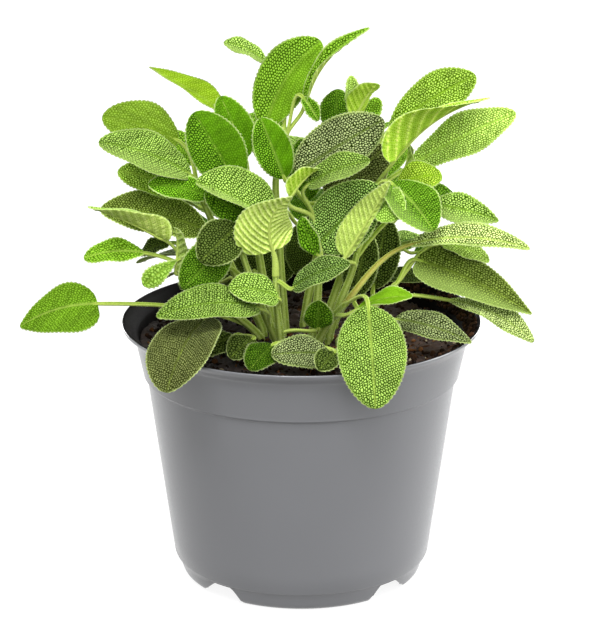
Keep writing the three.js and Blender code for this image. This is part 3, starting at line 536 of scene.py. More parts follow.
def numbered(points, closed=False, pinched=()):
    """The numbers of a grid's points. A closed grid comes back to its first column, and a pinched row
    has shrunk to one point."""
    index = np.arange(points[..., 0].size).reshape(points.shape[:2])
    for row in pinched:
        index[row] = index[row, 0]
    return np.concatenate([index, index[:, :1]], axis=1) if closed else index


def grid_faces(index, flip=False):
    """Two triangles for each cell of a grid of point numbers, without those that have shrunk to a line."""
    a, b = index[:-1, :-1].ravel(), index[:-1, 1:].ravel()
    c, d = index[1:, 1:].ravel(), index[1:, :-1].ravel()
    faces = np.concatenate([np.stack([a, b, c], 1), np.stack([a, c, d], 1)])
    whole = (faces[:, 0] != faces[:, 1]) & (faces[:, 1] != faces[:, 2]) & (faces[:, 0] != faces[:, 2])
    faces = faces[whole]
    return faces[:, ::-1] if flip else faces


class Shape:
    """Points, triangles and tints gathered from several forms, then made into one mesh. A blade's tints hold
    a painted highlight on its pebbles' tops, and it also has the tint of its creases with painted shade,
    its places in the net of pebbles and how rough it is."""

    def __init__(self):
        self.points, self.tints, self.shades, self.nets, self.grains = [], [], [], [], []
        self.faces, self.kinds = [], []
        self.count = 0

    def add(self, points, faces, tints, kind=0, shades=0, net=0, grain=0):
        self.points.append(points)
        self.tints.append(np.broadcast_to(tints, points.shape))
        self.shades.append(np.broadcast_to(shades, points.shape))
        self.nets.append(np.broadcast_to(net, points.shape))
        self.grains.append(np.broadcast_to(grain, len(points)))
        self.faces.append(faces + self.count)
        self.kinds.append(np.full(len(faces), kind))
        self.count += len(points)

    def make(self, name, materials):
        points = np.clip(np.concatenate(self.points) * MM + AXIS, cad_low, cad_high)
        faces = np.concatenate(self.faces).astype(np.int32)
        mesh = bpy.data.meshes.new(name)
        mesh.vertices.add(len(points))
        mesh.vertices.foreach_set("co", points.astype(np.float32).ravel())
        mesh.loops.add(faces.size)
        mesh.loops.foreach_set("vertex_index", faces.ravel())
        mesh.polygons.add(len(faces))
        mesh.polygons.foreach_set("loop_start", np.arange(0, faces.size, 3, dtype=np.int32))
        mesh.polygons.foreach_set("material_index", np.concatenate(self.kinds).astype(np.int32))
        mesh.polygons.foreach_set("use_smooth", np.ones(len(faces), bool))
        grains = np.concatenate(self.grains)[:, None]
        for title, tones in (("tint", self.tints), ("shade", self.shades)):
            rgba = np.concatenate([np.concatenate(tones), grains], axis=1).astype(np.float32)
            mesh.attributes.new(title, "FLOAT_COLOR", "POINT").data.foreach_set("color", rgba.ravel())
        net = np.concatenate(self.nets).astype(np.float32)
        mesh.attributes.new("net", "FLOAT_VECTOR", "POINT").data.foreach_set("vector", net.ravel())
        for material in materials:
            mesh.materials.append(material)
        mesh.update()
        mesh.validate()
        piece = bpy.data.objects.new(name, mesh)
        bpy.context.scene.collection.objects.link(piece)
        return piece


def hairs(shape, roots, outward, along, rng):
    """Fine spikes at the roots, leaning a little at random."""
    count = len(roots)
    slant = along * rng.normal(0, HAIR_SLANT, (count, 1))
    lean = unit(outward + slant + rng.normal(0, HAIR_LEAN, (count, 3)))
    length = HAIR_LENGTH * rng.uniform(*HAIR_LENGTHS, (count, 1))
    side = unit(np.cross(lean, along + 1e-3))
    other = np.cross(lean, side)
    corners = [roots + HAIR_RADIUS * (side * math.cos(a) + other * math.sin(a)) for a in around(3)]
    points = np.stack([*corners, roots + lean * length], axis=1).reshape(-1, 3)
    first = np.arange(count)[:, None] * 4
    faces = np.concatenate([first + np.array(f) for f in ([0, 1, 3], [1, 2, 3], [2, 0, 3])])
    shape.add(points, faces, linear(HAIR_TONE), HAIR)


def downy_tube(shape, curve, wide, high, angles, form, tints, hair_rows, hair_count, rng):
    """A closed tube along a curve of points, directions, sides and ups, with a form by angle and hairs on
    some of its rows."""
    points, alongs, sides, ups = curve
    rings = (points[:, None, :]
             + sides[:, None, :] * (wide[:, None] * np.cos(angles) * form)[..., None]
             + ups[:, None, :] * (high[:, None] * np.sin(angles) * form)[..., None])
    tints = np.broadcast_to(tints, rings.shape)
    index = numbered(rings, True)
    first = index.max() + 1
    ends = [[np.full(len(angles), first), index[0, 1:], index[0, :-1]],
            [np.full(len(angles), first + 1), index[-1, :-1], index[-1, 1:]]]
    faces = np.concatenate([grid_faces(index), *[np.stack(e, 1) for e in ends]])
    body, skin = (np.concatenate([grid.reshape(-1, 3), grid[0].mean(0)[None], grid[-1].mean(0)[None]])
                  for grid in (rings, tints))
    shape.add(body, faces, skin, STALK)
    outward = sides[:, None, :] * np.cos(angles)[:, None] + ups[:, None, :] * np.sin(angles)[:, None]
    i = rng.integers(*hair_rows, hair_count)
    j = rng.integers(0, len(angles), hair_count)
    roots = blend(rings[i, j], rings[i - 1, j], rng.uniform(0, 1, (hair_count, 1)))
    hairs(shape, roots, outward[i, j], alongs[i], rng)


def carried(up, alongs):
    """An up direction carried on through the directions along a tube."""
    ups = np.empty_like(alongs)
    for i, along in enumerate(alongs):
        up = unit(up - along * (up @ along))
        ups[i] = up
    return ups


class Through:
    """The stem's curve: a centripetal Catmull-Rom spline through its points."""

    def __init__(self, points):
        p = np.asarray(points, float)
        self.points = np.concatenate([[2 * p[0] - p[1]], p, [2 * p[-1] - p[-2]]])
        self.pieces = len(p) - 1

    def point(self, t):
        along = min(max(t, 0), 1) * self.pieces
        i = min(int(along), self.pieces - 1)
        u = along - i
        p = self.points[i:i + 4]
        d = [max(np.linalg.norm(p[k + 1] - p[k]) ** 0.5, 1e-4) for k in range(3)]
        start, end = (((p[k] - p[k - 1]) / d[k - 1] - (p[k + 1] - p[k - 1]) / (d[k - 1] + d[k])
                       + (p[k + 1] - p[k]) / d[k]) * d[1] for k in (1, 2))
        square = -3 * p[1] + 3 * p[2] - 2 * start - end
        cube = 2 * p[1] - 2 * p[2] + start + end
        return p[1] + start * u + square * u ** 2 + cube * u ** 3

    def tangent(self, t):
        return unit(self.point(min(t + 1e-3, 1)) - self.point(max(t - 1e-3, 0)))


def stem_curve(path):
    """The stem's path, led straight up out of its hole in the soil."""
    x, y, _ = path[0]
    return Through([[x, y, STEM_FOOT], [x, y, SOIL_TOP - STEM_BEND_DEPTH], *path])


def stem_tube(shape, stem, rng):
    """A four-sided downy stem with a groove along each side."""
    t = np.linspace(0, 1, STEM_STEPS + 1)
    points = np.array([stem.point(v) for v in t])
    alongs = np.array([stem.tangent(v) for v in t])
    across = carried(np.array([1.0, 0, 0]), alongs)
    angles = around(STEM_SIDES)
    swell = np.sin(2 * math.pi * t * STEM_SWELLS + rng.uniform(0, STEM_SWELL_TURN))
    radius = blend(STEM_ROOT_RADIUS, STEM_TOP_RADIUS, t) * (1 + STEM_SWELL * swell)
    radius[-1] *= STEM_END
    corner = 1 + STEM_CORNER * np.cos(4 * angles)
    groove = (0.5 - 0.5 * np.cos(4 * angles))[None, :, None]
    tints = blend(linear(STEM_TONE), linear(STEM_GROOVE_TONE), groove) * blend(*STEM_LIGHTS, t)[:, None, None]
    curve = points, alongs, across, np.cross(alongs, across)
    hair_rows = int(STEM_STEPS * STEM_BURIED_SHARE), STEM_STEPS
    downy_tube(shape, curve, radius, radius, angles, corner, tints, hair_rows, STEM_HAIRS, rng)


def rib_curve(spec):
    """A blade's rib, which gives points, directions, sides and ups at shares t, and its chord's length."""
    base, tip = np.array(spec["base"], float), np.array(spec["tip"], float)
    chord = tip - base
    across = unit(np.cross(chord, np.array(spec["face"], float)))
    up = unit(np.cross(across, chord))
    bend = (base + tip) / 2 + up * 2 * spec["arch"] + across * 2 * spec["side"]

    def at(t):
        t = np.asarray(t, float)[..., None]
        point = (1 - t) ** 2 * base + 2 * t * (1 - t) * bend + t ** 2 * tip
        along = unit(2 * (1 - t) * (bend - base) + 2 * t * (tip - bend))
        side = unit(np.cross(along, up))
        return point, along, side, np.cross(side, along)
    return at, np.linalg.norm(chord)


def stalk(shape, spec, stem, rng):
    """A leaf's stalk, which runs on under the blade as its raised rib."""
    at, _ = rib_curve(spec)
    base, start_along, _, start_up = at(0.0)
    t = STEM_BURIED_SHARE + (1 - STEM_BURIED_SHARE) * spec["at"] * HIGHEST_STALK
    root = stem.point(t)
    reach = np.linalg.norm(base - root) * STALK_REACH
    first = unit(stem.tangent(t) + unit(base - root))
    controls = [root, root + first * reach, base - start_along * reach, base]
    u = np.linspace(0, 1, STALK_STEPS + 1)[:-1, None]
    weights = [(1 - u) ** 3, 3 * u * (1 - u) ** 2, 3 * u ** 2 * (1 - u), u ** 3]
    points = sum(w * c for w, c in zip(weights, controls))
    slopes = [3 * (1 - u) ** 2, 6 * u * (1 - u), 3 * u ** 2]
    alongs = unit(sum(w * (b - a) for w, a, b in zip(slopes, controls, controls[1:])))
    ups = carried(start_up, alongs[::-1])[::-1]
    r = np.linspace(0, RIB_END, RIB_STEPS + 1)
    rib_points, rib_alongs, _, rib_ups = at(r)
    taper = 1 - RIB_TAPER * r ** RIB_TAPER_POWER
    thick = blend(spec["stalk"], 1, np.linspace(0, 1, STALK_STEPS) ** 2)
    high = np.concatenate([STALK_HALF_HEIGHT * thick, STALK_HALF_HEIGHT * taper])
    wide = np.concatenate([STALK_HALF_WIDTH * thick, STALK_HALF_WIDTH * taper * RIB_WIDTH_SHARE])
    rib_sink = RIB_SINK * STALK_HALF_HEIGHT * taper * smooth(0, RIB_SINK_END, r)
    sink = np.concatenate([np.zeros(STALK_STEPS), rib_sink])[:, None]
    alongs = np.concatenate([alongs, rib_alongs])
    ups = np.concatenate([ups, rib_ups])
    curve = np.concatenate([points, rib_points]) - ups * sink, alongs, np.cross(alongs, ups), ups
    angles = around(STALK_SIDES)
    channel = np.exp(-((angles - math.pi / 2) / CHANNEL_WIDTH) ** 2)
    groove = channel + STRIPE_SHARE * np.clip(np.cos(STALK_STRIPES * angles), 0, 1)
    tints = blend(linear(STALK_TONE), linear(STALK_GROOVE_TONE), np.clip(groove, 0, 1)[None, :, None])
    red = spec["red"] * np.clip(np.sin(angles + RED_TURN), 0, 1)[None, :, None]
    tints = blend(tints, linear(STALK_RED_TONE), red)
    downy_tube(shape, curve, wide, high, angles, 1 - CHANNEL_DEPTH * channel, tints, (1, STALK_STEPS),
               int(np.linalg.norm(base - root) * STALK_HAIRS_PER_MM), rng)


def pebbles(net):
    """An even net of pebbles, from -0.5 in its creases to 1 on their tops, by places counted in pebbles."""
    return sum(np.cos(2 * math.pi * (net @ np.array(way))) for way in NET_WAYS) / len(NET_WAYS)


def patches(s, w, rng, length=PATCH_LENGTH):
    """A soft, slow variation between about -1 and 1."""
    total = np.zeros(s.shape)
    for share in PATCH_SHARES:
        turn, phase = rng.uniform(0, 2 * math.pi, 2)
        along = s * math.cos(turn) + w * math.sin(turn)
        total += share * np.sin(2 * math.pi * along / (length * share) + phase)
    return total / PATCH_SCALE


def blade_tints(tone, level, grain, vein, rib, edge, patch, is_under):
    """Colours of one face of a blade, on its pebbles' tops with a painted highlight (level 1) or in its
    creases with painted shade (level 2). On the upper face the sunk veins take a little painted shade.
    """
    tones = [linear(each) for each in TONES[tone][:3]]
    light = 1 if is_under else LEVEL_LIGHTS[level]
    vein_tone, vein_share = (tones[1], UNDER_VEIN_SHARE) if is_under else (tones[2], VEIN_SHARE)
    tint = blend(tones[0], tones[level] * light, grain[..., None])
    tint = blend(tint, vein_tone, (vein * vein_share)[..., None])
    tint = blend(tint, linear(RIB_TONE), (rib * RIB_SHARE)[..., None])
    # The margin goes pale: partly its own down, partly a painted backlit rim
    tint = blend(tint, linear(EDGE_TONE), (edge * EDGE_SHARE)[..., None])
    return tint * TONE_SCALE * (1 + PATCH_TINT * patch)[..., None]


def blade(shape, spec, index, rng):
    """A blade: a pebbled upper face and a veined underside that meet in a finely scalloped margin."""
    at, length = rib_curve(spec)
    middle, _, _, middle_up = at(0.5)
    step = FINE_STEP if middle[1] < MIDDLE_DEPTH else COARSE_STEP
    ease = np.linspace(0, 1, int(ROW_SHARE * length / step) + 1)
    t = (1 - END_CROWDING) * ease + END_CROWDING * (1 - np.cos(math.pi * ease)) / 2
    place, _, side, up = at(t)
    skewed = np.clip(t, 0, 1) ** (math.log(0.5) / math.log(spec["widest"]))
    share = np.abs(np.sin(math.pi * skewed)) ** ROUNDNESS * (1 - spec["pointed"] * t ** 3)
    share[[0, -1]] = 0
    s = t * length
    fold = math.radians(spec["fold"])
    tooth_phase = rng.uniform(0, TOOTH_PITCH)
    veins = spec["veins"] or int(np.clip(round(length / SIDE_VEIN_PITCH), FEWEST_SIDE_VEINS, MOST_SIDE_VEINS))
    vein_pitch = length / veins
    pitch = vein_pitch / max(2, round(vein_pitch / PEBBLE_PITCH))
    forward = rng.uniform(*VEIN_SLOPES)

    def surface(count):
        """The blade's middle surface with its ways along and across, by columns from left to right."""
        x = np.linspace(-1, 1, count + 1)
        v = (1 - SIDE_CROWDING) * x + SIDE_CROWDING * np.sin(math.pi * x / 2)
        reach = np.abs(v)[None, :]
        half = share[:, None] * spec["width"] / 2 * np.where(v < 0, *spec["halves"])[None, :]
        tooth = np.abs(np.sin(math.pi * (s + tooth_phase) / TOOTH_PITCH))[:, None]
        tooth = TOOTH_DEPTH * (tooth - TOOTH_MIDDLE) * reach ** TOOTH_POWER * (share > 0)[:, None]
        left, right = (np.sin(2 * math.pi * (RIPPLES * t + turn) + index)[:, None]
                       for turn in (0, RIPPLE_TURN))
        ripple = RIPPLE * spec["wave"] * share[:, None] * np.where(v[None, :] < 0, left, right)
        lift = half * math.sin(fold) * share[:, None] * reach ** FOLD_POWER + ripple * reach ** RIPPLE_POWER
        spread = (half * reach + tooth) * np.cos(fold * share)[:, None] * np.sign(v)[None, :]
        points = place[:, None, :] + side[:, None, :] * spread[..., None] + up[:, None, :] * lift[..., None]
        return v, points, half, s[:, None] + 0 * v[None, :], half * v[None, :]

    def face(count, is_under):
        """One face with its relief: points, tints of tops with a painted highlight and of creases with
        painted shade, places in the net and roughness.
        """
        v, points, half, ss, ww = surface(count)
        tones = TONES[spec["under" if is_under else "tone"]]
        normal = unit(np.cross(np.gradient(points, axis=1), np.gradient(points, axis=0)))
        normal[[0, -1]] = normal[[1, -2]]
        behind = ss - (forward * np.abs(ww) + VEIN_CURVE * ww ** 2)
        net = np.stack([behind, forward * ss + np.abs(ww), 0 * ss], axis=-1)
        net /= pitch * math.hypot(1, forward)
        for k in (0, 1):
            net[..., k] += NET_BEND * patches(ss, ww, rng, NET_BEND_LENGTH)
        rough = blend(*spec["relief"], smooth(-HALF_BLEND, HALF_BLEND, v))[None, :]
        rise = smooth(PEBBLE_CREASE, PEBBLE_CREST, pebbles(net)) * rough
        q = behind / vein_pitch
        to_vein = np.abs(q - np.round(q)) * vein_pitch * VEIN_ACROSS
        vein = np.exp(-(to_vein / VEIN_WIDTH) ** 2)
        to_edge = half - np.abs(ww)
        fade = smooth(FADE_FROM, FADE_TO, to_edge)
        edge = 1 - smooth(EDGE_FROM, EDGE_TO, to_edge)
        rib = np.exp(-(ww / blend(*RIB_HALF_WIDTHS, t)[:, None]) ** 2)
        between = 0.5 - 0.5 * np.cos(2 * math.pi * q)
        quilt = between * fade
        body = BLADE_THICKNESS / 2 * np.sqrt(np.clip(1 - np.abs(v) ** BODY_POWER, 0, 1))[None, :]
        if is_under:
            raised = tones[3] * (VEIN_HEIGHT * vein - UNDER_PEBBLE_DEPTH * rise) * fade
            height = -(body + (raised - UNDER_QUILT_HEIGHT * quilt))
        else:
            raised = tones[3] * PEBBLE_HEIGHT * rise * (1 - VEIN_CUT * vein)
            raised = raised * (FADED_RELIEF + (1 - FADED_RELIEF) * fade)
            height = body + QUILT_HEIGHT * quilt + raised - RIB_GROOVE * rib * fade - TOP_SINK
        height = height * (share > 0)[:, None]
        height[:, [0, -1]] = 0
        patch = patches(ss, ww, rng) + patches(ss, ww, rng, NET_BEND_LENGTH)
        grain = (UNDER_GRAIN if is_under else 1) * rough * fade * (1 - rib) + 0 * ss
        crease_painted_shade = linear(tones[2]) * TONE_SCALE
        pair = []
        for level in (1, 2):
            if is_under:
                # Painted shade in the hollows between the underside's veins
                hollow_painted_shade = UNDER_HOLLOW_PAINTED_SHADE * spec["streaks"] * between ** 2 * (1 - edge) * (1 - rib)
                tints = blade_tints(spec["under"], 3 - level, grain, vein * spec["streaks"],
                                    UNDER_RIB_SHARE * rib, edge, patch, True)
                tints = blend(tints, crease_painted_shade, hollow_painted_shade[..., None])
            else:
                tints = blade_tints(spec["tone"], level, grain, vein, spec["rib"] * rib, edge, patch, False)
                # Painted shade in the groove of a rib that is not pale
                tints = blend(tints, crease_painted_shade, ((1 - spec["rib"]) * RIB_GROOVE_PAINTED_SHADE * rib)[..., None])
                paler = smooth(0, PALE_REACH, v * np.sign(spec["pale"])) * abs(spec["pale"])
                tints = blend(tints, linear(PALE_TONE) * TONE_SCALE, paler[None, :, None])
            # Each leaf's light: partly its own tone, partly painted light and shade
            pair.append(np.clip(tints * spec["light"], 0, LIGHTEST))
        return points + normal * height[..., None], *pair, net, grain

    # The face that is turned away from the camera has fewer columns
    wide = 2 * max(FEWEST_COLUMNS, int(spec["width"] / step / 2))
    narrow = max(FEWEST_COLUMNS, 2 * (wide // HIDDEN_FACE_SHARE))
    over, below = (wide, narrow) if middle_up @ np.array(TOWARDS_CAMERA) > 0 else (narrow, wide)
    upper, under = face(over, False), face(below, True)
    top = upper[0]

    index_top = numbered(top, pinched=(0, -1))
    index_low = numbered(under[0]) + index_top.size
    index_low[:, 0], index_low[:, -1] = index_top[:, 0], index_top[:, -1]
    index_low[0, :], index_low[-1, :] = index_top[0, 0], index_top[-1, 0]
    points, tints, shades, net = (np.concatenate([a.reshape(-1, 3), b.reshape(-1, 3)])
                                  for a, b in zip(upper[:4], under[:4]))
    grain = np.concatenate([upper[4].ravel(), under[4].ravel()])
    faces = np.concatenate([grid_faces(index_top), grid_faces(index_low, True)])
    used, compact = np.unique(faces, return_inverse=True)
    shape.add(points[used], compact.reshape(-1, 3), tints[used], BLADE, shades[used], net[used], grain[used])

    for column, sign in ((0, -1), (-1, 1)):
        line = top[1:-1, column]
        run = np.concatenate([[0], np.cumsum(np.linalg.norm(np.diff(line, axis=0), axis=1))])
        where = np.arange(0, run[-1], HAIR_PITCH)
        where = where + rng.uniform(0, HAIR_PITCH, int(np.ceil(run[-1] / HAIR_PITCH)))
        roots, tangent, outer = (np.stack([np.interp(where, run, values[:, k]) for k in range(3)], axis=1)
                                 for values in (line, np.gradient(line, axis=0), side[1:-1]))
        tangent = unit(tangent)
        outer = unit(outer) * sign
        outer = unit(outer - tangent * np.sum(outer * tangent, axis=1, keepdims=True))
        hairs(shape, roots - outer * HAIR_SINK, outer, tangent, rng)


def feed(tree, socket, value):
    """Links a node's input to another node's output, or gives it a plain value."""
    if isinstance(value, bpy.types.NodeSocket):
        tree.links.new(value, socket)
    else:
        socket.default_value = value


def node(tree, kind, **values):
    """A shader node with its inputs and settings."""
    made = tree.nodes.new(kind)
    for name, value in values.items():
        if name in made.inputs:
            feed(tree, made.inputs[name], value)
        else:
            setattr(made, name, value)
    return made


def attribute(tree, name):
    """A mesh's own values, by the attribute's name."""
    return node(tree, "ShaderNodeAttribute", attribute_name=name).outputs


def noise(tree, scale, detail=3, rough=0.5):
    """Noise in the object's own space, counted per metre."""
    where = tree.nodes.new("ShaderNodeTexCoord").outputs["Object"]
    made = node(tree, "ShaderNodeTexNoise", Vector=where, Scale=scale, Detail=detail, Roughness=rough)
    return made.outputs["Fac"]


def mix(tree, kind, share, a, b):
    """A mix of colours."""
    made = node(tree, "ShaderNodeMix", data_type="RGBA", blend_type=kind)
    for socket, value in ((made.inputs[0], share), (made.inputs[6], a), (made.inputs[7], b)):
        feed(tree, socket, value)
    return made.outputs[2]


def maths(tree, operation, *values):
    """A sum, product or function of values."""
    made = node(tree, "ShaderNodeMath", operation=operation)
    for socket, value in zip(made.inputs, values):
        feed(tree, socket, value)
    return made.outputs[0]


def ramp(tree, source, *stops):
    """A value led from one place and level to another place and level."""
    made = node(tree, "ShaderNodeValToRGB", Fac=source)
    for element, (place, value) in zip(made.color_ramp.elements, stops):
        element.position = place
        element.color = (value, value, value, 1)
    return made.outputs[0]


def new_material(name, settings):
    """A material with one shader, its node tree and the shader."""
    material = bpy.data.materials.new(name)
    material.use_nodes = True
    tree = material.node_tree
    tree.nodes.clear()
    shader = node(tree, "ShaderNodeBsdfPrincipled", **settings)
    node(tree, "ShaderNodeOutputMaterial", Surface=shader.outputs[0])
    return material, tree, shader


def finish_material(tree, shader, colour, height, strength, distance):
    """Gives the shader its colour and its bumps, whose height is in metres."""
    bump = node(tree, "ShaderNodeBump", Strength=strength, Distance=distance, Height=height)
    feed(tree, shader.inputs["Base Color"], colour)
    feed(tree, shader.inputs["Normal"], bump.outputs[0])


def net_of_pebbles(tree):
    """The blade's net of pebbles, as in pebbles(), from 0 in its creases to 1 on their tops."""
    place = attribute(tree, "net")["Vector"]
    total = 0
    for way in NET_WAYS:
        along = node(tree, "ShaderNodeVectorMath", operation="DOT_PRODUCT")
        feed(tree, along.inputs[0], place)
        feed(tree, along.inputs[1], [2 * math.pi * part for part in way])
        total = maths(tree, "ADD", maths(tree, "COSINE", along.outputs["Value"]), total)
    ends = {"From Min": NET_CREASE * len(NET_WAYS), "From Max": NET_CREST * len(NET_WAYS)}
    return node(tree, "ShaderNodeMapRange", interpolation_type="SMOOTHSTEP", Value=total, **ends).outputs[0]


def plant_material(name, roughness, sheen, grain, bump_height, pebbled=False):
    """A plant's skin: the mesh's tints with fine noise and, on a blade, its net of pebbles, with painted
    shade in the creases and a painted highlight on the tops.
    """
    material, tree, shader = new_material(name, {
        "Specular IOR Level": 0.02, "Roughness": roughness,
        "Sheen Weight": sheen, "Sheen Roughness": 0.45, "Sheen Tint": (0.9, 1.0, 0.6, 1)})
    tint = attribute(tree, "tint")
    colour = tint["Color"]
    if pebbled:
        level = net_of_pebbles(tree)
        # The creases take their painted shade and the pebbles' tops their painted highlight
        colour = mix(tree, "MIX", level, attribute(tree, "shade")["Color"], colour)
    fine = noise(tree, grain, 4, 0.6)
    colour = mix(tree, "MULTIPLY", 1.0, colour, ramp(tree, fine, (0.3, 0.8), (0.7, 1.15)))
    height = maths(tree, "MULTIPLY", level, tint["Alpha"]) if pebbled else fine
    finish_material(tree, shader, colour, height, 0.8 if pebbled else 0.5, bump_height)
    return material


def plastic(name, tone, roughness, specular, coat):
    """Moulded plastic with a fine grain and slow, slight changes of tone."""
    material, tree, shader = new_material(name, {
        "Specular IOR Level": specular, "Coat Weight": coat, "Coat Roughness": 0.12})
    slow = noise(tree, 18, 2)
    fine = noise(tree, 1400, 2)
    colour = mix(tree, "MULTIPLY", 1.0, (*linear(tone), 1), ramp(tree, slow, (0.3, 0.96), (0.7, 1.03)))
    grain = ramp(tree, fine, (0.3, roughness * 0.9), (0.7, roughness * 1.1))
    feed(tree, shader.inputs["Roughness"], grain)
    finish_material(tree, shader, colour, fine, 0.2, 0.00002)
    return material


def compost():
    """The soil's tint with its painted shade on the left, darker and lighter in lumps, with warm flecks."""
    material, tree, shader = new_material("compost", {"Roughness": 0.92})
    fine = noise(tree, 1100, 4, 0.7)
    tint = attribute(tree, "tint")["Color"]
    lumpy = ramp(tree, noise(tree, 260, 5, 0.65), (0.32, 0.35), (0.72, 1.7))
    colour = mix(tree, "MULTIPLY", 1.0, tint, lumpy)
    fleck = mix(tree, "MULTIPLY", 1.0, tint, SOIL_FLECK)
    colour = mix(tree, "MIX", ramp(tree, fine, (0.62, 0), (0.74, 0.7)), colour, fleck)
    finish_material(tree, shader, colour, fine, 0.8, 0.0006)
    return material


def build_plant():
    """Each stem with its leaves as one piece."""
    materials = [
        plant_material("sage_blade", 0.6, 0.0, 2600, NET_BUMP * MM, True),
        plant_material("sage_stalk", 0.6, 0.04, 1800, 0.0001),
        plant_material("sage_hair", 0.7, 0.05, 1500, 0.00002),
    ]
    for number, (name, (path, leaves)) in enumerate(STEMS.items()):
        shape = Shape()
        stem = stem_curve(path)
        stem_tube(shape, stem, np.random.default_rng([SEED, number]))
        for index, spec in enumerate(leaves):
            rng = np.random.default_rng([SEED, number, index])
            stalk(shape, spec, stem, rng)
            blade(shape, spec, index, rng)
        piece = shape.make("dressed_" + name, materials)
        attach(piece, "root")
        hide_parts(name)


def arc(centre, radius, start, end, steps):
    """Profile points on an arc, by angles in degrees."""
    return [(centre[0] + radius * math.cos(math.radians(a)), centre[1] + radius * math.sin(math.radians(a)))
            for a in np.linspace(start, end, steps + 1)]


def wall_radius(z):
    """The pot's outer radius at a height, without its step."""
    if z < COLLAR_FOOT_HEIGHT:
        share = (z - RING_HEIGHT) / (COLLAR_FOOT_HEIGHT - RING_HEIGHT)
        return blend(BODY_FOOT_RADIUS, BODY_TOP_RADIUS, share)
    share = (z - COLLAR_FOOT_HEIGHT - STEP_HEIGHT) / (COLLAR_TOP_HEIGHT - COLLAR_FOOT_HEIGHT - STEP_HEIGHT)
    return blend(COLLAR_FOOT_RADIUS, COLLAR_TOP_RADIUS, share)


def inner_radius(z):
    """The pot's inner radius at a height."""
    return wall_radius(z) - WALL


def notch_height(angle):
    """How high the ring is cut away at an angle in degrees, counted from the front."""
    cut = np.zeros(angle.shape)
    for middle, far_side in NOTCHES:
        off = ((angle - middle - NOTCH_TURN + 180) % 360 - 180) * far_side
        foot = np.where(off > 0, NOTCH_FAR_ANGLE, NOTCH_NEAR_ANGLE)
        curve = np.where(off > 0, NOTCH_FAR_CURVE, NOTCH_NEAR_CURVE)
        share = np.clip((foot - np.abs(off)) / (foot - NOTCH_TOP_ANGLE), 0, 1)
        cut = np.maximum(cut, share ** curve)
    return NOTCH_HEIGHT * cut


def ring_radius(z):
    """The base ring's outer radius, which is rounded in at the foot."""
    low = blend(RING_FOOT_RADIUS, RING_ROUND_RADIUS, np.sqrt(np.clip(z / RING_ROUND_HEIGHT, 0, 1)))
    share = (z - RING_ROUND_HEIGHT) / (RING_HEIGHT - RING_ROUND_HEIGHT)
    return np.where(z < RING_ROUND_HEIGHT, low, blend(RING_ROUND_RADIUS, RING_TOP_RADIUS, share))


def pot_outside():
    """The wall's profile from the ring's top up to the lip. Points a few tenths apart keep edges crisp."""
    body_foot = RING_HEIGHT + RING_LEDGE
    foot_middle = BODY_FOOT_RADIUS - BODY_ROUNDING, body_foot + BODY_ROUNDING
    lip_low = POT_HEIGHT - LIP_DROP
    lip_radius = RIM_RADIUS - LIP_ROUNDING
    return [
        (RING_TOP_RADIUS + 0.05, RING_HEIGHT - 0.05),
        (BODY_FOOT_RADIUS - BODY_ROUNDING, body_foot - 0.1),
        *arc(foot_middle, BODY_ROUNDING, -70, 0, 5),
        *[(wall_radius(z), z) for z in np.linspace(foot_middle[1] + 0.5, COLLAR_FOOT_HEIGHT - 0.7, 12)],
        (BODY_TOP_RADIUS - 0.02, COLLAR_FOOT_HEIGHT - 0.25),
        (BODY_TOP_RADIUS + 0.25, COLLAR_FOOT_HEIGHT),
        *arc((COLLAR_FOOT_RADIUS - ROUNDING, STEP_TOP_HEIGHT - 0.1), ROUNDING, -60, 10, 4),
        *[(wall_radius(z), z) for z in np.linspace(STEP_TOP_HEIGHT + 0.8, COLLAR_TOP_HEIGHT - 0.4, 6)],
        *[(blend(COLLAR_TOP_RADIUS, RIM_RADIUS, share), blend(COLLAR_TOP_HEIGHT, lip_low, share))
          for share in (0.06, 0.3, 0.6, 0.93)],
        *arc((lip_radius, lip_low + LIP_ROUNDING), LIP_ROUNDING, -45, 0, 3),
        *arc((lip_radius, POT_HEIGHT - LIP_ROUNDING), LIP_ROUNDING, 0, 60, 4),
    ]


def pot_inside():
    """The wall's profile on over the lip, down the funnel inside it and down to the floor."""
    throat = inner_radius(COLLAR_TOP_HEIGHT), COLLAR_TOP_HEIGHT + FLARE_LIFT
    inside = arc((RIM_RADIUS - LIP_ROUNDING, POT_HEIGHT - LIP_ROUNDING), LIP_ROUNDING, 70, 90, 2)
    inside += [(blend(RIM_RADIUS - LIP_WIDTH, throat[0], share), blend(POT_HEIGHT, throat[1], share) - sink)
               for share, sink in ((-0.04, 0.2), (0.05, 0.05), (0.3, 0), (0.6, 0), (0.92, 0))]
    for start, end, steps in ((COLLAR_TOP_HEIGHT + 0.2, STEP_TOP_HEIGHT, 6),
                              (COLLAR_FOOT_HEIGHT - 0.01, POT_FLOOR_HEIGHT, 10)):
        inside += [(inner_radius(z), z) for z in np.linspace(start, end, steps)]
    return inside + [(RING_TOP_RADIUS - WALL, POT_FLOOR_HEIGHT)]


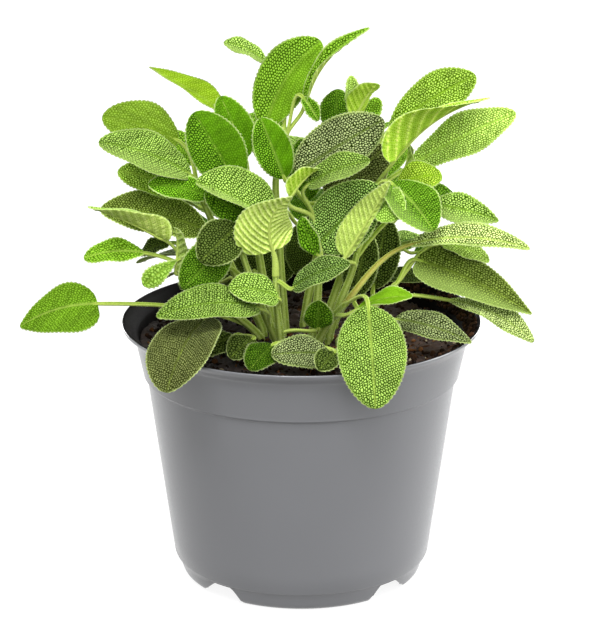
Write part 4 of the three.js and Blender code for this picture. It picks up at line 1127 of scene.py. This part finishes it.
def pot_wall():
    """The wall as one turned band: up the outside, over the lip and down the inside, with a ring of feet."""
    # The ring's two faces, by the share of the way up from a notch's top to the ring's own
    inner = [(-WALL, share) for share in (1, 0.7, 0.45, 0.25, 0.1, 0)]
    outer = [(0, share) for share in (0, 0.06, 0.14, 0.24, 0.36, 0.5, 0.7, 0.97)]
    outside = pot_outside()
    angles = np.linspace(0, 360, POT_COLUMNS, endpoint=False)
    cut = notch_height(angles + 90)
    rows = []
    for inset, share in inner + outer:
        z = blend(cut, RING_HEIGHT, share)
        rows.append((ring_radius(z) + inset, z))
    rows += [(np.full(POT_COLUMNS, r), np.full(POT_COLUMNS, z)) for r, z in outside + pot_inside()]
    radius, height = (np.array([row[k] for row in rows]) for k in (0, 1))
    turn = np.radians(angles)
    points = np.stack([radius * np.cos(turn), radius * np.sin(turn), height], axis=-1)
    index = numbered(points, True)
    faces = grid_faces(np.concatenate([index, index[:1]]), True)
    row_of = faces.min(axis=1) // POT_COLUMNS
    is_grey = (row_of >= len(inner) - 1) & (row_of < len(inner + outer + outside) - 1)
    return points.reshape(-1, 3), faces, 1 - is_grey


def pot_floor():
    """The floor disc with its drain holes."""

    def cylinder(sides, radius, depth, place):
        bpy.ops.mesh.primitive_cylinder_add(vertices=sides, radius=radius * MM, depth=depth * MM,
                                            location=AXIS + np.array(place) * MM)
        return bpy.context.object

    disc = cylinder(DISC_SIDES, RING_TOP_RADIUS - WALL / 2, WALL, (0, 0, POT_FLOOR_HEIGHT + WALL / 2))
    for i in range(DRAINS):
        turn = 2 * math.pi * i / DRAINS
        place = DRAIN_CIRCLE_RADIUS * math.cos(turn), DRAIN_CIRCLE_RADIUS * math.sin(turn), POT_FLOOR_HEIGHT
        drain = cylinder(DRAIN_SIDES, DRAIN_RADIUS, 4 * WALL, place)
        bpy.context.view_layer.objects.active = disc
        cutter = disc.modifiers.new("drain", "BOOLEAN")
        cutter.object = drain
        cutter.operation = "DIFFERENCE"
        bpy.ops.object.modifier_apply(modifier="drain")
        bpy.data.objects.remove(drain)
    mesh = disc.data
    mesh.transform(disc.matrix_world)
    mesh.calc_loop_triangles()
    points = np.array([v.co for v in mesh.vertices])
    faces = np.array([t.vertices for t in mesh.loop_triangles])
    bpy.data.objects.remove(disc)
    return (points - AXIS) / MM, faces


def build_pot():
    """The pot, grey outside and black inside."""
    grey = plastic("pot_grey", POT_GREY, 0.35, 0.5, 0.5)
    black = plastic("pot_black", POT_BLACK, 0.6, 0.03, 0.0)
    shape = Shape()
    points, faces, kinds = pot_wall()
    shape.add(points, faces, 1, kinds)
    shape.add(*pot_floor(), 1, 1)
    piece = shape.make("pot_shell", [grey, black])
    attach(piece, "root")
    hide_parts("pot")


def lumps(x, y, rng, sizes):
    """Rough ground: the sum of waves of several sizes in many directions."""
    total = np.zeros(np.broadcast(x, y).shape)
    for size, height in sizes:
        for _ in range(LUMP_WAVES):
            turn, phase = rng.uniform(0, 2 * math.pi, 2)
            total += height * np.sin(2 * math.pi * (x * math.cos(turn) + y * math.sin(turn)) / size + phase)
    return total / math.sqrt(LUMP_WAVES)


def soil_height(x, y):
    """The height of the soil's top at a place."""
    rng = np.random.default_rng([SEED, SOIL_SEED])
    swell = np.sin(2 * math.pi * x / SOIL_SWELLS[0]) * np.sin(2 * math.pi * y / SOIL_SWELLS[1])
    swell = swell + np.sin(2 * math.pi * (y + SOIL_SLANT * x) / SOIL_CROSS_SWELL) / 2
    return SOIL_TOP + SOIL_UNEVEN * swell + lumps(x, y, rng, SOIL_LUMPS)


def left_painted_shade(x):
    """Painted shade on the soil, darker to the left, as a share of its own tone."""
    return blend(PAINTED_SHADE_LEVEL, 1, smooth(PAINTED_SHADE_FROM, PAINTED_SHADE_TO, x))


def build_soil():
    """The compost: an uneven top over a body that fills the pot."""
    top_radius = inner_radius(SOIL_TOP) - SOIL_GAP
    floor = POT_FLOOR_HEIGHT + WALL + SOIL_GAP
    turn = around(SOIL_COLUMNS)
    rows = []
    for r in [SOIL_CENTRE, *np.linspace(1, top_radius, int(top_radius / SOIL_STEP))]:
        x, y = r * np.cos(turn), r * np.sin(turn)
        rows.append((x, y, soil_height(x, y)))
    for z in (SOIL_TOP - 3, STEP_TOP_HEIGHT + 0.3, COLLAR_FOOT_HEIGHT - 0.3, SOIL_MIDDLE_HEIGHT, floor):
        r = inner_radius(z) - SOIL_GAP
        rows.append((r * np.cos(turn), r * np.sin(turn), np.full(SOIL_COLUMNS, z)))
    rows.append((0 * turn, 0 * turn, np.full(SOIL_COLUMNS, floor)))
    points = np.array(rows).transpose(0, 2, 1)
    faces = grid_faces(numbered(points, True, pinched=(0, -1)), True)
    points = points.reshape(-1, 3)
    shape = Shape()
    # The soil's tone, with painted shade towards the left
    shape.add(points, faces, linear(SOIL_TONE) * left_painted_shade(points[:, 0])[:, None])
    piece = shape.make("compost_bed", [compost()])
    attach(piece, "root")
    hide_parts("soil")


def lump_forms():
    """A plain lump of 8 faces and a rounder one of 32, each as points and triangles."""
    corners = np.array([[1, 0, 0], [-1, 0, 0], [0, 1, 0], [0, -1, 0], [0, 0, 1], [0, 0, -1]], float)
    faces = np.array([[0, 2, 4], [2, 1, 4], [1, 3, 4], [3, 0, 4], [2, 0, 5], [1, 2, 5], [3, 1, 5], [0, 3, 5]])
    middle, points, fine = {}, [*corners], []
    for a, b, c in faces:
        rim = []
        for pair in ((a, b), (b, c), (c, a)):
            key = tuple(sorted(pair))
            if key not in middle:
                middle[key] = len(points)
                points.append(unit(corners[key[0]] + corners[key[1]]))
            rim.append(middle[key])
        fine += [[a, rim[0], rim[2]], [b, rim[1], rim[0]], [c, rim[2], rim[1]], rim]
    return (corners, faces), (np.array(points), np.array(fine))


def turned(form, spin, tilt):
    """A form tilted and then spun, by angles in radians."""
    a, b, c, d = math.cos(spin), math.sin(spin), math.cos(tilt), math.sin(tilt)
    rotate = np.array([[a, -b, 0], [b, a, 0], [0, 0, 1]])
    lean = np.array([[1, 0, 0], [0, c, -d], [0, d, c]])
    return form @ (rotate @ lean).T


def build_crumbs():
    """Loose crumbs, bark chips and pale specks on the soil, and crumbs on the lip."""
    rng = np.random.default_rng([SEED, CRUMB_SEED])
    plain_form, round_form = lump_forms()
    shape = Shape()
    for i in range(CRUMBS + CHIPS + LIP_CRUMBS):
        is_chip = CRUMBS <= i < CRUMBS + CHIPS
        on_lip = i >= CRUMBS + CHIPS
        radius = (inner_radius(SOIL_TOP) - CRUMB_GAP) * math.sqrt(rng.uniform())
        turn = rng.uniform(0, 2 * math.pi)
        if on_lip:
            share = rng.uniform() ** LIP_CRUMB_CROWD
            radius = blend(inner_radius(COLLAR_TOP_HEIGHT), RIM_RADIUS - LIP_WIDTH - LIP_CRUMB_GAP, share)
            turn = math.radians(rng.uniform(*LIP_CRUMB_ARC))
        x, y = radius * math.cos(turn), radius * math.sin(turn)
        if is_chip:
            size = np.array([rng.uniform(*sizes) for sizes in CHIP_SIZES])
        else:
            size = rng.uniform(*CRUMB_SIZES) * rng.uniform(*CRUMB_SPREAD, 3)
        body, faces = round_form if is_chip or size.max() >= COARSE_CRUMB else plain_form
        form = body * rng.uniform(*CRUMB_ROUGHNESS, (len(body), 1)) * size
        spin, tilt = rng.uniform(0, 2 * math.pi), rng.uniform(-CRUMB_TILT, CRUMB_TILT)
        ground = float(soil_height(np.array(x), np.array(y)))
        if on_lip:
            ground = blend(COLLAR_TOP_HEIGHT + FLARE_LIFT, POT_HEIGHT - LIP_CRUMB_GAP, share)
        place = np.array([x, y, ground + size[2] * CRUMB_LIFT])
        tone = CRUMB_TONES[rng.choice(len(CRUMB_TONES), p=CRUMB_WEIGHTS) // (2 if on_lip else 1)]
        # Each crumb's own random tone, with the soil's painted shade towards the left
        shade = rng.uniform(*CRUMB_LIGHTS) * float(left_painted_shade(x))
        shape.add(turned(form, spin, tilt) + place, faces, linear(tone) * shade)
    piece = shape.make("compost_crumbs", [plant_material("crumb", 0.9, 0.0, 1500, 0.0002)])
    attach(piece, "root")


def placed(name, data, place, target):
    """A light or camera in the scene that looks at a target."""
    made = bpy.data.objects.new(name, data)
    made.location = place
    made.rotation_euler = (Vector(target) - Vector(place)).to_track_quat("-Z", "Y").to_euler()
    bpy.context.scene.collection.objects.link(made)
    return made


def build_studio():
    """Soft surroundings, the lights and a white floor."""
    scene = bpy.context.scene
    scene.view_settings.view_transform = "Standard"
    scene.world = bpy.data.worlds.new("studio")
    scene.world.use_nodes = True
    sky = scene.world.node_tree
    where = sky.nodes.new("ShaderNodeTexCoord").outputs["Generated"]
    height = node(sky, "ShaderNodeSeparateXYZ", Vector=where).outputs["Z"]
    ends = {"From Min": -1, "From Max": 1, "To Min": LIGHT_BELOW, "To Max": LIGHT_ABOVE}
    strength = node(sky, "ShaderNodeMapRange", interpolation_type="SMOOTHSTEP", Value=height, **ends)
    feed(sky, sky.nodes["Background"].inputs["Strength"], strength.outputs[0])
    feed(sky, sky.nodes["Background"].inputs["Color"], (1, 1, 1, 1))
    for name, place, size, power in LIGHTS:
        data = bpy.data.lights.new(name, "AREA")
        data.shape = "RECTANGLE"
        data.size, data.size_y = size
        data.energy = power
        placed(name, data, np.array([AXIS[0], AXIS[1], 0]) + place, (AXIS[0], AXIS[1], LIGHT_AIM))
    bpy.ops.mesh.primitive_plane_add(size=FLOOR_SIZE, location=(AXIS[0], AXIS[1], cad_low.z - FLOOR_DROP))
    floor = bpy.context.object
    floor.name = "floor"
    floor.data.materials.append(new_material("white_floor", {
        "Base Color": (FLOOR_TONE, FLOOR_TONE, FLOOR_TONE, 1), "Roughness": 0.9, "Specular IOR Level": 0,
        "Emission Color": (1, 1, 1, 1), "Emission Strength": FLOOR_GLOW})[0])
    floor.visible_diffuse = False


def build_camera():
    data = bpy.data.cameras.new("camera")
    data.lens = CAMERA_LENS
    data.clip_end = CAMERA_REACH
    place, target = (Vector(AXIS + np.array(point) * MM) for point in (CAMERA_PLACE, CAMERA_TARGET))
    bpy.context.scene.camera = placed("camera", data, place, target)


build_camera()
build_studio()
build_pot()
build_soil()
build_crumbs()
build_plant()
